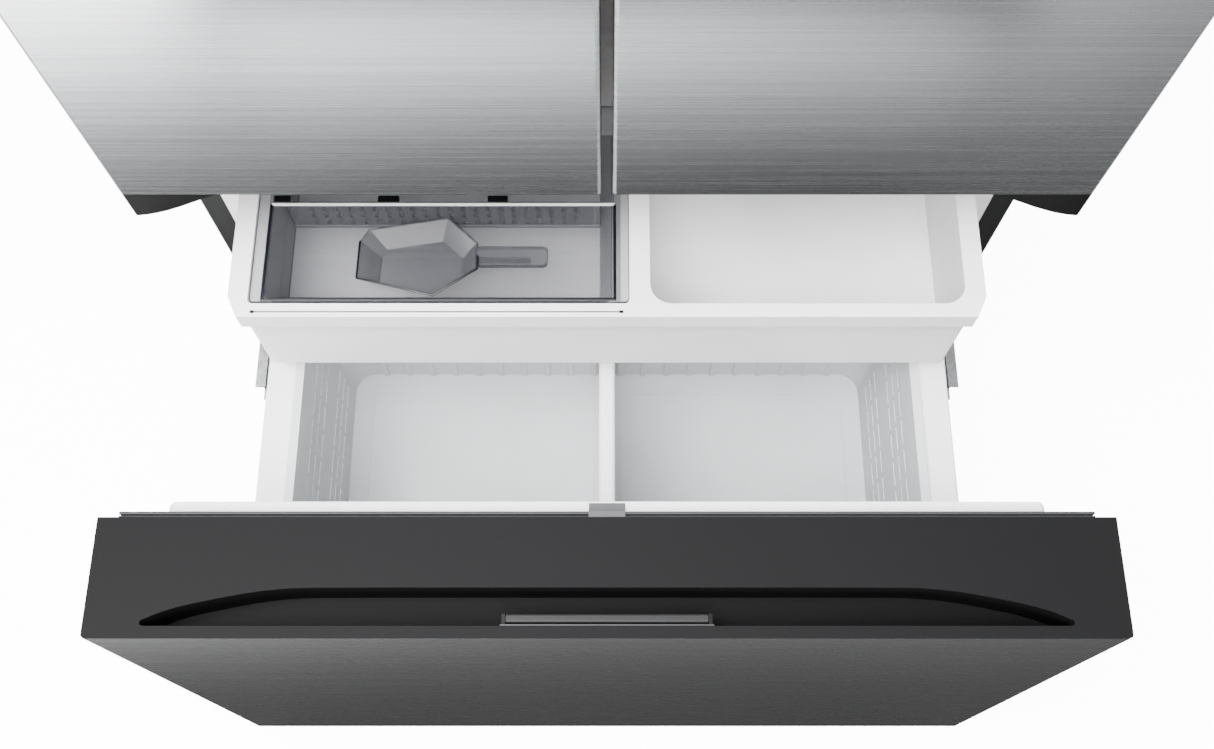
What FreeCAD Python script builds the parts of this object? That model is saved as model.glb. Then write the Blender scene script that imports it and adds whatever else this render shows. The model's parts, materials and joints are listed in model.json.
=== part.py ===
"""French door refrigerator with a bottom freezer drawer.

Millimetres, +Z up, front towards -Y.  The origin is on the floor, midway across the width and midway
between the open drawer's face and the back panel.  Everything is drawn with the drawer shut, in x, depth
behind the door faces and height, and each pulled-out body is then moved forward by save().
"""
import FreeCAD, Part
import math
import os

V = FreeCAD.Vector
X, Y, Z = V(1, 0, 0), V(0, 1, 0), V(0, 0, 1)

# ---------------------------------------------------------------- driving dimensions
# overall
WIDTH = 908.0               # cabinet, and both doors with their gap
DEPTH = 870.0               # door faces to back panel
CABINET_TOP = 1748.0
DRAWER_OUT = 402.0          # how far the drawer stands out as drawn
TRAY_OUT = 203.0            # how far the inner tray stands out as drawn
# clearances
RUN = 0.5                   # between sliding faces
TURN = 0.3                  # round a pin in its bore
# sheet and skin thicknesses
SHEET = 1.2
LINER = 1.0
MOULD = 3.0                 # moulded bins and trays
# cabinet walls
FLANGE_AT = 115.0           # depth of the cabinet's front face
FLANGE_WIDE = 25.5
SIDE_WALL = 47.0
TOP_WALL = 50.0
BACK_WALL = 60.0
BASE_UNDER = 34.0           # underside of the base frame
BASE_TOP = 76.0
FLOOR_SLAB = 42.0
STEP_WALL = 41.0
FRESH_FLOOR = 707.0         # floor of the upper compartment
MULLION_TALL = 52.0
MACHINE_TALL = 213.0        # machine space, base frame top to the step's underside
MACHINE_DEEP = 268.0
# doors
DOOR_THICK = 104.0
DOOR_GAP = 11.0             # between the two doors
DOOR_TOP_GAP = 4.0
DOOR_FOOT_GAP = 17.0        # door cap to drawer top
CAP_DROP = 41.0             # door cap below the steel
CAP_RISE = 24.0             # door cap inside the steel
TOP_CAP = 6.0
BEND = 4.0                  # outside radius of a folded steel edge
RECESS_DEEP = 36.0          # finger recess behind the doors' lower edge
RECESS_RUN = 134.0          # length of its sloped end
RECESS_UP = 15.0
RECESS_LIP = 8.0
DIKE_PROUD = 36.0
DIKE_WIDE = 12.0
DIKE_FROM_OUTER = 62.0
DIKE_FROM_INNER = 48.0
BIN_TALL = 110.0
BIN_DEEP = 109.0
BIN_COUNT = 3
# hinges
HINGE_IN = 22.0             # pin axis from the cabinet's side
HINGE_AT = 50.0             # pin axis behind the door faces
HINGE_PIN = 6.0
HINGE_REACH = 22.0
HINGE_PLATE = 5.0
COVER_TALL = 30.0
# flip mullion on the left door
FLIP_LONG = 56.0
FLIP_THICK = 20.0
FLIP_AXIS_X = -23.5
FLIP_AXIS_AT = 122.5
FLIP_PIN = 2.5
# gaskets
SEAL_INSET = 17.0
SEAL_WIDE = 14.0
SEAL_GAP = 0.5
DRAWER_SEAL_DOWN = 4.0      # top of the drawer's gasket below the drawer's top
# freezer drawer
DRAWER_BOTTOM = 60.0
DRAWER_TOP = 679.0
DRAWER_THICK = 108.0
PULL_FROM = 11.0            # front lip of the handle recess
PULL_DEEP = 33.4
PULL_LONG = 809.0
PULL_DOWN = 42.0
PULL_NOSE = 5.6
PULL_SWEEP = 200.0          # length of the recess's curved ends
PULL_ARC = ((0.13, 0.44), (0.29, 0.67), (0.45, 0.85), (0.57, 0.945), (0.77, 0.995))
CAP_PLATE = 2.0
LEVER_LONG = 176.0
LEVER_TALL = 24.0
LEVER_THICK = 8.5
LEVER_GAP = 1.2             # bar to the bracket's plate
BRACKET_THICK = 2.0
BRACKET_WIDER = 5.0         # plate beyond each end of the bar
RIDGE_PROUD = 22.0          # raised rim of the drawer's inner panel
RIDGE_WIDE = 14.0
RIDGE_ROUND = 8.0
RIDGE_GAP = 3.0             # rim to the freezer's ceiling when shut
CLIP_WIDE = 33.0
CLIP_THICK = 2.0
# lower basket
BASKET_AT = 132.0
BASKET_LONG = 330.0
BASKET_RIM = 422.0
BASKET_FLOOR = 157.0
BASKET_WIDE = 696.0
BASKET_LEAN = 8.0
BASKET_RIM_WIDE = 7.0
SLOT_GROUPS = (231.0, 341.0)  # middle heights of the two bands of side slots
SLOT_RISE = 26.0
SLOT_LONG = 29.0
SLOT_FROM_END = 60.0
SLOTS_ALONG = 7
SLOT_CUT = 40.0
SPLIT_WIDE = 18.0
# slides
SLIDE_START = 3.0           # front of the rails behind the drawer's raised rim
SLIDE_LONG = 450.0
SLIDE_TALL = 48.0
SLIDE_LOW = 358.0
SLIDE_OUTER = 10.0
SLIDE_MIDDLE = 5.0
SLIDE_INNER = 6.0
# upper tray
TRAY_AT = 137.0
TRAY_LONG = 420.0
TRAY_RIM = 606.0
TRAY_FLOOR = 450.0
TRAY_WIDE = 769.0
TRAY_SIDE_RIM = 20.5
TRAY_FRONT_RIM = 15.0
TRAY_FRONT_WALL = 14.0      # outer face of the front wall behind the rim's front edge
TRAY_CORNER = 5.0
TRAY_OVERHANG = 8.0
TRAY_LIP = 25.0
TRAY_CHAMFER = 23.0
TRAY_SPLIT_AT = 23.0
TRAY_SPLIT_WIDE = 21.0
# ice bin and scoop
ICE_FLANGE = 13.0
ICE_DEEP = 53.0
ICE_LEAN = 13.0
ICE_FRONT_GAP = 5.0         # the bin's front wall behind the tray's rim
ICE_CORNER = 6.0
ICE_SPLIT_AT = 110.0
ICE_LONG = 248.0
SCOOP_TALL = 30.0
# crispers and shelves
CRISPER_FRONT = 256.0
CRISPER_LONG = 463.0
CRISPER_TALL = 184.0
RUNNER_TALL = 9.0
SHELF_FRONT = 262.0
SHELF_LONG = 500.0
SHELF_COUNT = 2
GLASS = 4.0
LEDGE = 10.0
COVER_BAR = 16.0
# machinery
ROLLER = 24.0
ROLLER_WIDE = 22.0
COMPRESSOR_RADIUS = 72.0
COMPRESSOR_TALL = 175.0
CONDENSER_FAN = 72.0
EVAPORATOR_FAN = 42.0
COIL_DEEP = 44.0

# ---------------------------------------------------------------- places worked out from them
FRONT = (DRAWER_OUT - DEPTH) / 2
HALF = WIDTH / 2
IN_SHEET = HALF - SHEET
LINER_HALF = HALF - SIDE_WALL
FOAM_HALF = LINER_HALF + LINER
FLANGE_HALF = HALF - FLANGE_WIDE
FOAM_FRONT = FLANGE_AT + SHEET
BACK_SHEET = DEPTH - SHEET
LINER_BACK = DEPTH - BACK_WALL
FRESH_TOP = CABINET_TOP - TOP_WALL
FREEZER_TOP = FRESH_FLOOR - MULLION_TALL
FREEZER_FLOOR = BASE_TOP + FLOOR_SLAB
MACHINE_FRONT = BACK_SHEET - MACHINE_DEEP
MACHINE_TOP = BASE_TOP + MACHINE_TALL
STEP_FRONT = MACHINE_FRONT - STEP_WALL
STEP_TOP = MACHINE_TOP + STEP_WALL
PLATE_TOP = BASE_TOP - 16.0
DOOR_BOTTOM = DRAWER_TOP + DOOR_FOOT_GAP
STEEL_BOTTOM = DOOR_BOTTOM + CAP_DROP
DOOR_TOP = CABINET_TOP - DOOR_TOP_GAP
DOOR_IN = DOOR_GAP / 2
HINGE_X = HALF - HINGE_IN
SEAL_BACK = FLANGE_AT - SEAL_GAP
SLIDE_AT = DRAWER_THICK + RIDGE_PROUD + SLIDE_START
EVAPORATOR_COVER = LINER_BACK - 60.0


# ---------------------------------------------------------------- shapes used all through
def block(x0, x1, f0, f1, z0, z1):
    """A box between two widths, two depths and two heights."""
    return Part.makeBox(x1 - x0, f1 - f0, z1 - z0, V(x0, f0, z0))


def rod(x, f, z, radius, length, axis):
    return Part.makeCylinder(radius, length, V(x, f, z), axis)


def mirrored(shape):
    return shape.mirror(V(0, 0, 0), X)


def pair(shape):
    return [shape, mirrored(shape)]


def rounded_plan(x0, x1, f0, f1, z, r):
    """A rectangle with rounded corners, lying at one height."""
    k = r * (1 - math.sqrt(0.5))
    lines = [(V(x0 + r, f0, z), V(x1 - r, f0, z)), (V(x1, f0 + r, z), V(x1, f1 - r, z)),
             (V(x1 - r, f1, z), V(x0 + r, f1, z)), (V(x0, f1 - r, z), V(x0, f0 + r, z))]
    mids = [V(x1 - k, f0 + k, z), V(x1 - k, f1 - k, z), V(x0 + k, f1 - k, z), V(x0 + k, f0 + k, z)]
    edges = []
    for i in range(4):
        edges.append(Part.LineSegment(*lines[i]).toShape())
        edges.append(Part.Arc(lines[i][1], mids[i], lines[(i + 1) % 4][0]).toShape())
    return Part.Wire(edges)


def rounded_block(x0, x1, f0, f1, z0, z1, r):
    face = Part.Face(rounded_plan(x0, x1, f0, f1, z0, r))
    return face.extrude(V(0, 0, z1 - z0))


def tapered(x0, x1, f0, f1, z0, z1, r, lean):
    """A rounded block whose foot is drawn in by lean on every side."""
    foot = rounded_plan(x0 + lean, x1 - lean, f0 + lean, f1 - lean, z0, r)
    head = rounded_plan(x0, x1, f0, f1, z1, r)
    return Part.makeLoft([foot, head], True, True)


def tub(x0, x1, f0, f1, z0, z1, r, wall, lean=0.0):
    """An open box with rounded corners and upright or leaning walls."""
    if lean == 0:
        inner = rounded_block(x0 + wall, x1 - wall, f0 + wall, f1 - wall, z0 + wall, z1, r - wall)
        return rounded_block(x0, x1, f0, f1, z0, z1, r).cut(inner)
    slope = lean / (z1 - z0)
    foot = lean - wall * slope
    over = wall * slope
    outer = tapered(x0, x1, f0, f1, z0, z1, r, lean)
    inner = tapered(x0 + wall - over, x1 - wall + over, f0 + wall - over, f1 - wall + over,
                    z0 + wall, z1 + wall, r - wall, foot)
    return outer.cut(inner)


def front_rounded(x0, x1, f0, f1, z0, z1, r):
    """A box with its two upright front edges rounded."""
    k = r * (1 - math.sqrt(0.5))
    p = [V(x0 + r, f0, z0), V(x1 - r, f0, z0), V(x1, f0 + r, z0), V(x1, f1, z0), V(x0, f1, z0),
         V(x0, f0 + r, z0)]
    edges = [Part.LineSegment(p[0], p[1]).toShape(),
             Part.Arc(p[1], V(x1 - k, f0 + k, z0), p[2]).toShape(),
             Part.LineSegment(p[2], p[3]).toShape(),
             Part.LineSegment(p[3], p[4]).toShape(),
             Part.LineSegment(p[4], p[5]).toShape(),
             Part.Arc(p[5], V(x0 + k, f0 + k, z0), p[0]).toShape()]
    return Part.Face(Part.Wire(edges)).extrude(V(0, 0, z1 - z0))


def folded_front(x0, x1, f1, z0, z1):
    """Steel face with both sides folded back."""
    outer = front_rounded(x0, x1, 0, f1, z0, z1, BEND)
    inner = front_rounded(x0 + SHEET, x1 - SHEET, SHEET, f1, z0, z1, BEND - SHEET)
    return outer.cut(inner)


def side_profile(points, x0, x1):
    """A (depth, height) outline carried across from x0 to x1."""
    corners = [V(x0, f, z) for f, z in points]
    wire = Part.makePolygon(corners + corners[:1])
    return Part.Face(wire).extrude(V(x1 - x0, 0, 0))


def plan_profile(points, z0, z1):
    corners = [V(x, f, z0) for x, f in points]
    wire = Part.makePolygon(corners + corners[:1])
    return Part.Face(wire).extrude(V(0, 0, z1 - z0))


def frame_of(x0, x1, f0, f1, z0, z1, wide):
    """An upright picture frame: a plate with its middle taken out."""
    hole = block(x0 + wide, x1 - wide, f0, f1, z0 + wide, z1 - wide)
    return block(x0, x1, f0, f1, z0, z1).cut(hole)


def fused(shapes):
    return shapes[0].multiFuse(shapes[1:]).removeSplitter()


def spread(first, last, count):
    """Evenly spaced places, the first and last included."""
    return [first + (last - first) * i / (count - 1) for i in range(count)]


def slotted(shape, slots):
    return shape.cut(Part.makeCompound(slots))


def save(name, shapes, pulled=0.0):
    solids = [solid for shape in shapes for solid in shape.Solids]
    whole = Part.makeCompound(solids)
    whole.translate(V(0, FRONT - pulled, 0))
    whole.exportStep("parts/" + name + ".step")


# ---------------------------------------------------------------- cabinet
def cabinet_shell():
    """Painted sides with a front flange turned in, and the top sheet."""
    side = fused([block(IN_SHEET, HALF, FLANGE_AT, BACK_SHEET, BASE_UNDER, CABINET_TOP - SHEET),
                  block(FLANGE_HALF, IN_SHEET, FLANGE_AT, FOAM_FRONT, BASE_UNDER, CABINET_TOP - SHEET)])
    top = fused([block(-HALF, HALF, FLANGE_AT, BACK_SHEET, CABINET_TOP - SHEET, CABINET_TOP),
                 block(-FLANGE_HALF, FLANGE_HALF, FLANGE_AT, FOAM_FRONT,
                       CABINET_TOP - FLANGE_WIDE, CABINET_TOP - SHEET)])
    save("cabinet_shell", pair(side) + [top])


def back_panel():
    save("back_panel", [block(-HALF, HALF, BACK_SHEET, DEPTH, STEP_TOP, CABINET_TOP)])


def machine_cover():
    plate = block(-HALF, HALF, BACK_SHEET, DEPTH, BASE_UNDER, STEP_TOP)
    slots = []
    for z in spread(PLATE_TOP + 30, MACHINE_TOP - 30, 9):
        for x in spread(-HALF + 120, HALF - 120, 6):
            slots.append(block(x - 45, x + 45, BACK_SHEET, DEPTH, z - 3, z + 3))
    save("machine_cover", [slotted(plate, slots)])


def insulation():
    """Foam walls, each a plain block between the steel and a liner."""
    top = CABINET_TOP - SHEET
    sides = []
    sides += pair(block(FOAM_HALF, IN_SHEET, FOAM_FRONT, MACHINE_FRONT, BASE_TOP, top))
    sides += pair(block(FOAM_HALF, IN_SHEET, MACHINE_FRONT, BACK_SHEET, MACHINE_TOP, top))
    wide = (-FOAM_HALF, FOAM_HALF)
    slabs = [block(*wide, FOAM_FRONT, MACHINE_FRONT, BASE_TOP, FREEZER_FLOOR - LINER),
             block(*wide, STEP_FRONT + LINER, MACHINE_FRONT, FREEZER_FLOOR - LINER, STEP_TOP - LINER),
             block(*wide, MACHINE_FRONT, BACK_SHEET, MACHINE_TOP, STEP_TOP - LINER),
             block(*wide, FOAM_FRONT, LINER_BACK + LINER, FREEZER_TOP + LINER, FRESH_FLOOR - LINER),
             block(*wide, FOAM_FRONT, LINER_BACK + LINER, FRESH_TOP + LINER, top),
             block(*wide, LINER_BACK + LINER, BACK_SHEET, STEP_TOP - LINER, top)]
    save("insulation", sides + slabs)


def fresh_food_liner():
    """Upper liner with a turned-out lip, shelf ledges and crisper runners."""
    lip = FLANGE_AT + SHEET - LINER
    outer = block(-FOAM_HALF, FOAM_HALF, FOAM_FRONT, LINER_BACK + LINER,
                  FRESH_FLOOR - LINER, FRESH_TOP + LINER)
    rim = block(-FLANGE_HALF, FLANGE_HALF, lip, FOAM_FRONT, FRESH_FLOOR, CABINET_TOP - FLANGE_WIDE)
    inside = block(-LINER_HALF, LINER_HALF, lip - 1, LINER_BACK, FRESH_FLOOR, FRESH_TOP)
    body = outer.fuse(rim).cut(inside)
    shelf = FRESH_FLOOR + RUNNER_TALL + CRISPER_TALL + 9.0
    ledges = pair(block(LINER_HALF - LEDGE, LINER_HALF, SHELF_FRONT, LINER_BACK - 20,
                        shelf - 6, shelf))
    runners = []
    for x in (LINER_HALF - 30, 24.0):
        runners += pair(block(x - 4, x + 4, CRISPER_FRONT + 30, CRISPER_FRONT + CRISPER_LONG,
                              FRESH_FLOOR, FRESH_FLOOR + RUNNER_TALL - TURN))
    save("fresh_food_liner", [fused([body] + ledges + runners)])


def freezer_liner():
    """Lower liner, stepped at the back over the machine space."""
    lip = FLANGE_AT + SHEET - LINER
    t = LINER
    outer = side_profile([(FOAM_FRONT, FREEZER_FLOOR - t), (STEP_FRONT + t, FREEZER_FLOOR - t),
                          (STEP_FRONT + t, STEP_TOP - t), (LINER_BACK + t, STEP_TOP - t),
                          (LINER_BACK + t, FREEZER_TOP + t), (FOAM_FRONT, FREEZER_TOP + t)],
                         -FOAM_HALF, FOAM_HALF)
    rim = block(-FLANGE_HALF, FLANGE_HALF, lip, FOAM_FRONT, BASE_TOP, FREEZER_TOP)
    inside = side_profile([(lip - 1, FREEZER_FLOOR), (STEP_FRONT, FREEZER_FLOOR),
                           (STEP_FRONT, STEP_TOP), (LINER_BACK, STEP_TOP),
                           (LINER_BACK, FREEZER_TOP), (lip - 1, FREEZER_TOP)],
                          -LINER_HALF, LINER_HALF)
    save("freezer_liner", [outer.fuse(rim).cut(inside).removeSplitter()])


def mullion_cover():
    save("mullion_cover", [block(-FLANGE_HALF, FLANGE_HALF, FLANGE_AT, FOAM_FRONT,
                                 FREEZER_TOP, FRESH_FLOOR)])


def base_frame():
    """Side rails, cross members, machine plate and the rollers' brackets with their axles."""
    rail = block(LINER_HALF - 3, IN_SHEET, FOAM_FRONT, BACK_SHEET, BASE_UNDER, BASE_TOP)
    wheel_x = HALF - 27.0
    well = block(wheel_x - ROLLER_WIDE / 2 - 2, wheel_x + ROLLER_WIDE / 2 + 2,
                 roller_at() - ROLLER - 4, roller_at() + ROLLER + 4, BASE_UNDER, 2 * ROLLER + 4)
    rail = rail.cut(well).cut(rod(foot_x(), foot_at(), BASE_UNDER, 6 + TURN, 30, Z))
    ears = []
    for x in (wheel_x - ROLLER_WIDE / 2 - 6, wheel_x + ROLLER_WIDE / 2 + 2):
        ears.append(block(x, x + 4, roller_at() - 12, roller_at() + 12, ROLLER - 9, BASE_UNDER + 3))
    axle = rod(wheel_x - ROLLER_WIDE / 2 - 3, roller_at(), ROLLER, 4, ROLLER_WIDE + 6, X)
    side = fused([rail, axle] + ears)
    across = LINER_HALF - 3
    front = block(-across, across, FOAM_FRONT, FOAM_FRONT + 34, BASE_UNDER, BASE_TOP)
    rear = block(-across, across, BACK_SHEET - 28, BACK_SHEET, BASE_UNDER, PLATE_TOP)
    plate = block(-across, across, MACHINE_FRONT, BACK_SHEET - 28, PLATE_TOP - 4, PLATE_TOP)
    save("base_frame", [fused([side, mirrored(side), front, rear, plate])])


def roller_at():
    return BACK_SHEET - 70.0


def foot_x():
    return HALF - 30.0


def foot_at():
    return FOAM_FRONT + 34.0


def rear_rollers():
    x = HALF - 27.0
    wheel = rod(x - ROLLER_WIDE / 2 + RUN, roller_at(), ROLLER, ROLLER, ROLLER_WIDE - 2 * RUN, X)
    bore = rod(x - ROLLER_WIDE, roller_at(), ROLLER, 4 + TURN, 2 * ROLLER_WIDE, X)
    save("rear_rollers", pair(wheel.cut(bore)))


def levelling_feet():
    """A round pad, a hexagon and a threaded stem under each front corner."""
    for name, side in (("levelling_foot_left", -1), ("levelling_foot_right", 1)):
        x = side * foot_x()
        pad = rod(x, foot_at(), 0, 20, 8, Z)
        neck = rod(x, foot_at(), 8, 12, 8, Z)
        stem = rod(x, foot_at(), 16, 6, BASE_UNDER + 8, Z)
        save(name, [fused([pad, neck, stem])])


def toe_grille():
    """Slotted kick plate below the drawer, clipped to the base frame."""
    half = HALF - 8.0
    top = DRAWER_BOTTOM - 4.0
    plate = block(-half, half, 78, 82, 12, top)
    slots = []
    for z in spread(22, top - 10, 4):
        for x in spread(-half + 90, half - 90, 7):
            slots.append(block(x - 48, x + 48, 78, 82, z - 2.5, z + 2.5))
    arms = pair(block(half - 40, half - 36, 82, FOAM_FRONT, BASE_UNDER + 2, top))
    save("toe_grille", [fused([slotted(plate, slots)] + arms)])


def door_hinges():
    """Top plates with pins pointing down, and middle brackets with pins pointing up."""
    x0, x1 = HINGE_X - 20, HINGE_X + 18
    top = fused([block(x0, x1, HINGE_AT - 20, FLANGE_AT + 60, CABINET_TOP, CABINET_TOP + HINGE_PLATE),
                 rod(HINGE_X, HINGE_AT, CABINET_TOP - HINGE_REACH, HINGE_PIN, HINGE_REACH, Z)])
    low = DRAWER_TOP + 5.0
    mid = fused([block(x0, x1, HINGE_AT - 18, FLANGE_AT, low, low + HINGE_PLATE),
                 block(x0, x1, FLANGE_AT - 3, FLANGE_AT, low + HINGE_PLATE, DOOR_BOTTOM - 2),
                 rod(HINGE_X, HINGE_AT, low + HINGE_PLATE, HINGE_PIN, HINGE_REACH, Z)])
    save("door_hinges", pair(top) + pair(mid))


def hinge_covers():
    x0, x1, f0, f1 = HINGE_X - 30, HINGE_X + 20.0, HINGE_AT - 30, FLANGE_AT + 74
    cover = rounded_block(x0, x1, f0, f1, CABINET_TOP, CABINET_TOP + COVER_TALL, 12)
    roof = [e for e in cover.Edges if abs(e.CenterOfMass.z - CABINET_TOP - COVER_TALL) < 0.01]
    cover = cover.makeFillet(5, roof)
    space = rounded_block(x0 + MOULD, HINGE_X + 18 + RUN, f0 + MOULD, f1 - MOULD,
                          CABINET_TOP, CABINET_TOP + COVER_TALL - 6, 9)
    hollow = cover.cut(space)
    save("hinge_covers", pair(hollow))


# ---------------------------------------------------------------- inside the upper compartment
def shelf_heights():
    low = cover_low() + COVER_BAR
    pitch = (FRESH_TOP - low) / (SHELF_COUNT + 1)
    return [low + pitch * (i + 1) for i in range(SHELF_COUNT)]


def cover_low():
    return FRESH_FLOOR + RUNNER_TALL + CRISPER_TALL + 9.0


def shelves():
    """Cantilevered half-width glass shelves, and the glass cover over the crispers."""
    x0, x1 = 8.0, LINER_HALF - 9.0
    f0, f1 = SHELF_FRONT, SHELF_FRONT + SHELF_LONG
    frames, panes = [], []
    for z in shelf_heights():
        bars = [block(x0, x1, f0, f0 + 8, z - 12, z + 5),
                block(x0, x1, f1 - 8, f1, z - 12, z + 5)]
        for x in arm_places():
            bars.append(side_profile([(f0 + 8, z - GLASS), (f0 + 8, z - 14), (ladder_front(), z - 52),
                                      (ladder_front(), z - GLASS)], x - 1.5, x + 1.5))
        frames += pair(fused(bars))
        panes += pair(block(x0, x1, f0 + 8, f1 - 8, z - GLASS, z))
    low, high = cover_low(), cover_low() + COVER_BAR
    back = LINER_BACK - 20.0
    half = LINER_HALF - 2.0
    ring = block(-half, half, f0, back, low, high)
    ring = ring.cut(block(-half + 30, half - 30, f0 + 30, back - 30, low, high))
    ring = ring.cut(block(-half + 22, half - 22, f0 + 22, back - 22, high - GLASS, high))
    frames.append(ring)
    panes.append(block(-half + 22, half - 22, f0 + 22, back - 22, high - GLASS, high))
    save("shelf_frames", frames)
    save("glass_shelves", panes)


def arm_places():
    return (78.0, LINER_HALF - 18.0)


def ladder_front():
    return LINER_BACK - 5.0


def shelf_ladders():
    """Slotted uprights on the back wall that the shelf arms hook into."""
    low, high = cover_low() + COVER_BAR + 20, FRESH_TOP - 60
    uprights = []
    for x in arm_places():
        upright = block(x - 8, x + 8, ladder_front(), LINER_BACK, low, high)
        slots = [block(x - 2.5, x + 2.5, ladder_front(), ladder_front() + 3, z - 8, z + 8)
                 for z in spread(low + 20, high - 20, 16)]
        uprights.append(slotted(upright, slots))
    save("shelf_ladders", pair(uprights[0]) + pair(uprights[1]))


def air_duct_cover():
    """Central duct on the back wall with air slots and a lamp recess."""
    low, high = cover_low() + COVER_BAR + 10, FRESH_TOP
    front = LINER_BACK - 24.0
    duct = rounded_block(-58, 58, front, LINER_BACK + 20, low, high, 10)
    duct = duct.common(block(-58, 58, front, LINER_BACK, low, high))
    hollow = block(-52, 52, front + 3, LINER_BACK, low + 3, high - 3)
    slots = [block(-36, 36, front, front + 3, z - 4, z + 4) for z in spread(low + 60, high - 160, 9)]
    lamp = block(-40, 40, front, front + 1.5, high - 110, high - 40)
    save("air_duct_cover", [slotted(duct.cut(hollow), slots).cut(lamp)])


def crispers():
    """Two crisper drawers with a hand lip along the top of the front."""
    x0, x1 = 6.0, LINER_HALF - LEDGE - 5.0
    f0, f1 = CRISPER_FRONT, CRISPER_FRONT + CRISPER_LONG
    z0, z1 = FRESH_FLOOR + RUNNER_TALL, FRESH_FLOOR + RUNNER_TALL + CRISPER_TALL
    body = tub(x0, x1, f0 + 6, f1, z0, z1, 14, MOULD, 4)
    lip = block(x0 + 20, x1 - 20, f0, f0 + 7.5, z1 - 22, z1)
    right = fused([body, lip])
    save("crisper_right", [right])
    save("crisper_left", [mirrored(right)])


# ---------------------------------------------------------------- inside the freezer
def evaporator_cover():
    """Back wall of the freezer with air slots and the fan's opening."""
    plate = block(-LINER_HALF + 0.5, LINER_HALF - 0.5, EVAPORATOR_COVER, EVAPORATOR_COVER + 3,
                  STEP_TOP, FREEZER_TOP)
    slots = [rod(0, EVAPORATOR_COVER, fan_z(), EVAPORATOR_FAN + 4, 3, Y)]
    for z in spread(STEP_TOP + 16, STEP_TOP + 46, 3):
        for x in spread(-300, 300, 6):
            slots.append(block(x - 40, x + 40, EVAPORATOR_COVER, EVAPORATOR_COVER + 3, z - 3, z + 3))
    plate = slotted(plate, slots)
    bridge = [block(-EVAPORATOR_FAN - 8, EVAPORATOR_FAN + 8, EVAPORATOR_COVER + 30,
                    EVAPORATOR_COVER + 33, fan_z() - 6, fan_z() + 6)]
    for x in (-EVAPORATOR_FAN - 8, EVAPORATOR_FAN + 5):
        bridge.append(block(x, x + 3, EVAPORATOR_COVER + 3, EVAPORATOR_COVER + 33,
                            fan_z() - 6, fan_z() + 6))
    spindle = rod(0, EVAPORATOR_COVER + 12, fan_z(), 3, 19, Y)
    save("evaporator_cover", [fused([plate, spindle] + bridge)])


def fan_z():
    return FREEZER_TOP - EVAPORATOR_FAN - 8.0


def blades(hub, tip, thick, deep, count):
    """Fan wheel about the depth axis, centred on the origin, its hub bored for a spindle."""
    wheel = [rod(0, -deep / 2, 0, hub, deep, Y)]
    for i in range(count):
        blade = block(-tip * 0.28, tip * 0.28, -thick / 2, thick / 2, hub - 2, tip)
        blade.rotate(V(0, 0, 0), Z, 24)
        blade = blade.common(rod(0, -deep / 2, 0, tip, deep, Y))
        blade.rotate(V(0, 0, 0), Y, 360.0 * i / count)
        wheel.append(blade)
    return fused(wheel).cut(rod(0, -deep / 2, 0, 3 + TURN, deep, Y))


def fans():
    small = blades(14, EVAPORATOR_FAN, 2, 14, 5)
    small.translate(V(0, EVAPORATOR_COVER + 20, fan_z()))
    save("evaporator_fan", [small])
    large = blades(20, CONDENSER_FAN, 2.5, 22, 5)
    large.rotate(V(0, 0, 0), Z, 90)
    large.translate(V(shroud_x() - 22, machine_mid(), shroud_z()))
    save("condenser_fan", [large])


def finned_coil(x0, x1, f0, f1, z0, z1, columns, rows, pitch):
    """Straight tubes through thin fins, with a thicker plate at each end."""
    pieces = []
    for z in spread(z0 + 12, z1 - 12, rows):
        for f in spread(f0 + 10, f1 - 10, columns):
            pieces.append(rod(x0 - 8, f, z, 4, x1 - x0 + 16, X))
    count = int((x1 - x0) / pitch) + 1
    for x in spread(x0, x1 - 1.5, count):
        pieces.append(block(x, x + 1.5, f0, f1, z0, z1))
    return fused(pieces)


def evaporator():
    f0 = EVAPORATOR_COVER + 3 + 5
    coil = finned_coil(-290, 290, f0, f0 + COIL_DEEP, STEP_TOP + 70, fan_z() - EVAPORATOR_FAN - 12, 2, 6, 20)
    legs = [block(x, x + 4, f0 + COIL_DEEP, LINER_BACK, STEP_TOP + 80, STEP_TOP + 100)
            for x in (-290, 286)]
    save("evaporator", [fused([coil] + legs)])


def ice_maker():
    """Motor housing and twist tray under the freezer's ceiling."""
    f0 = TRAY_AT + 100.0
    z0 = TRAY_RIM + 8
    motor = rounded_block(-250, -130, f0, f0 + 60, z0, FREEZER_TOP, 6)
    tray = tub(-245, -135, f0 + 62, f0 + 210, z0 + 4, FREEZER_TOP - 12, 5, 2)
    posts = [block(x, x + 4, f0 + 60, f0 + 214, FREEZER_TOP - 22, FREEZER_TOP) for x in (-250, -134)]
    end = block(-250, -130, f0 + 210, f0 + 214, z0, FREEZER_TOP)
    save("ice_maker", [fused([motor] + posts + [end, tray])])


# ---------------------------------------------------------------- slides
def slide_edges():
    """Widths where the outer, middle and inner slide members begin and end."""
    outer = LINER_HALF
    middle = outer - SLIDE_OUTER + 1.0
    inner = outer - SLIDE_OUTER - SLIDE_MIDDLE + 1.0 - RUN
    return outer, middle, inner


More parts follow.
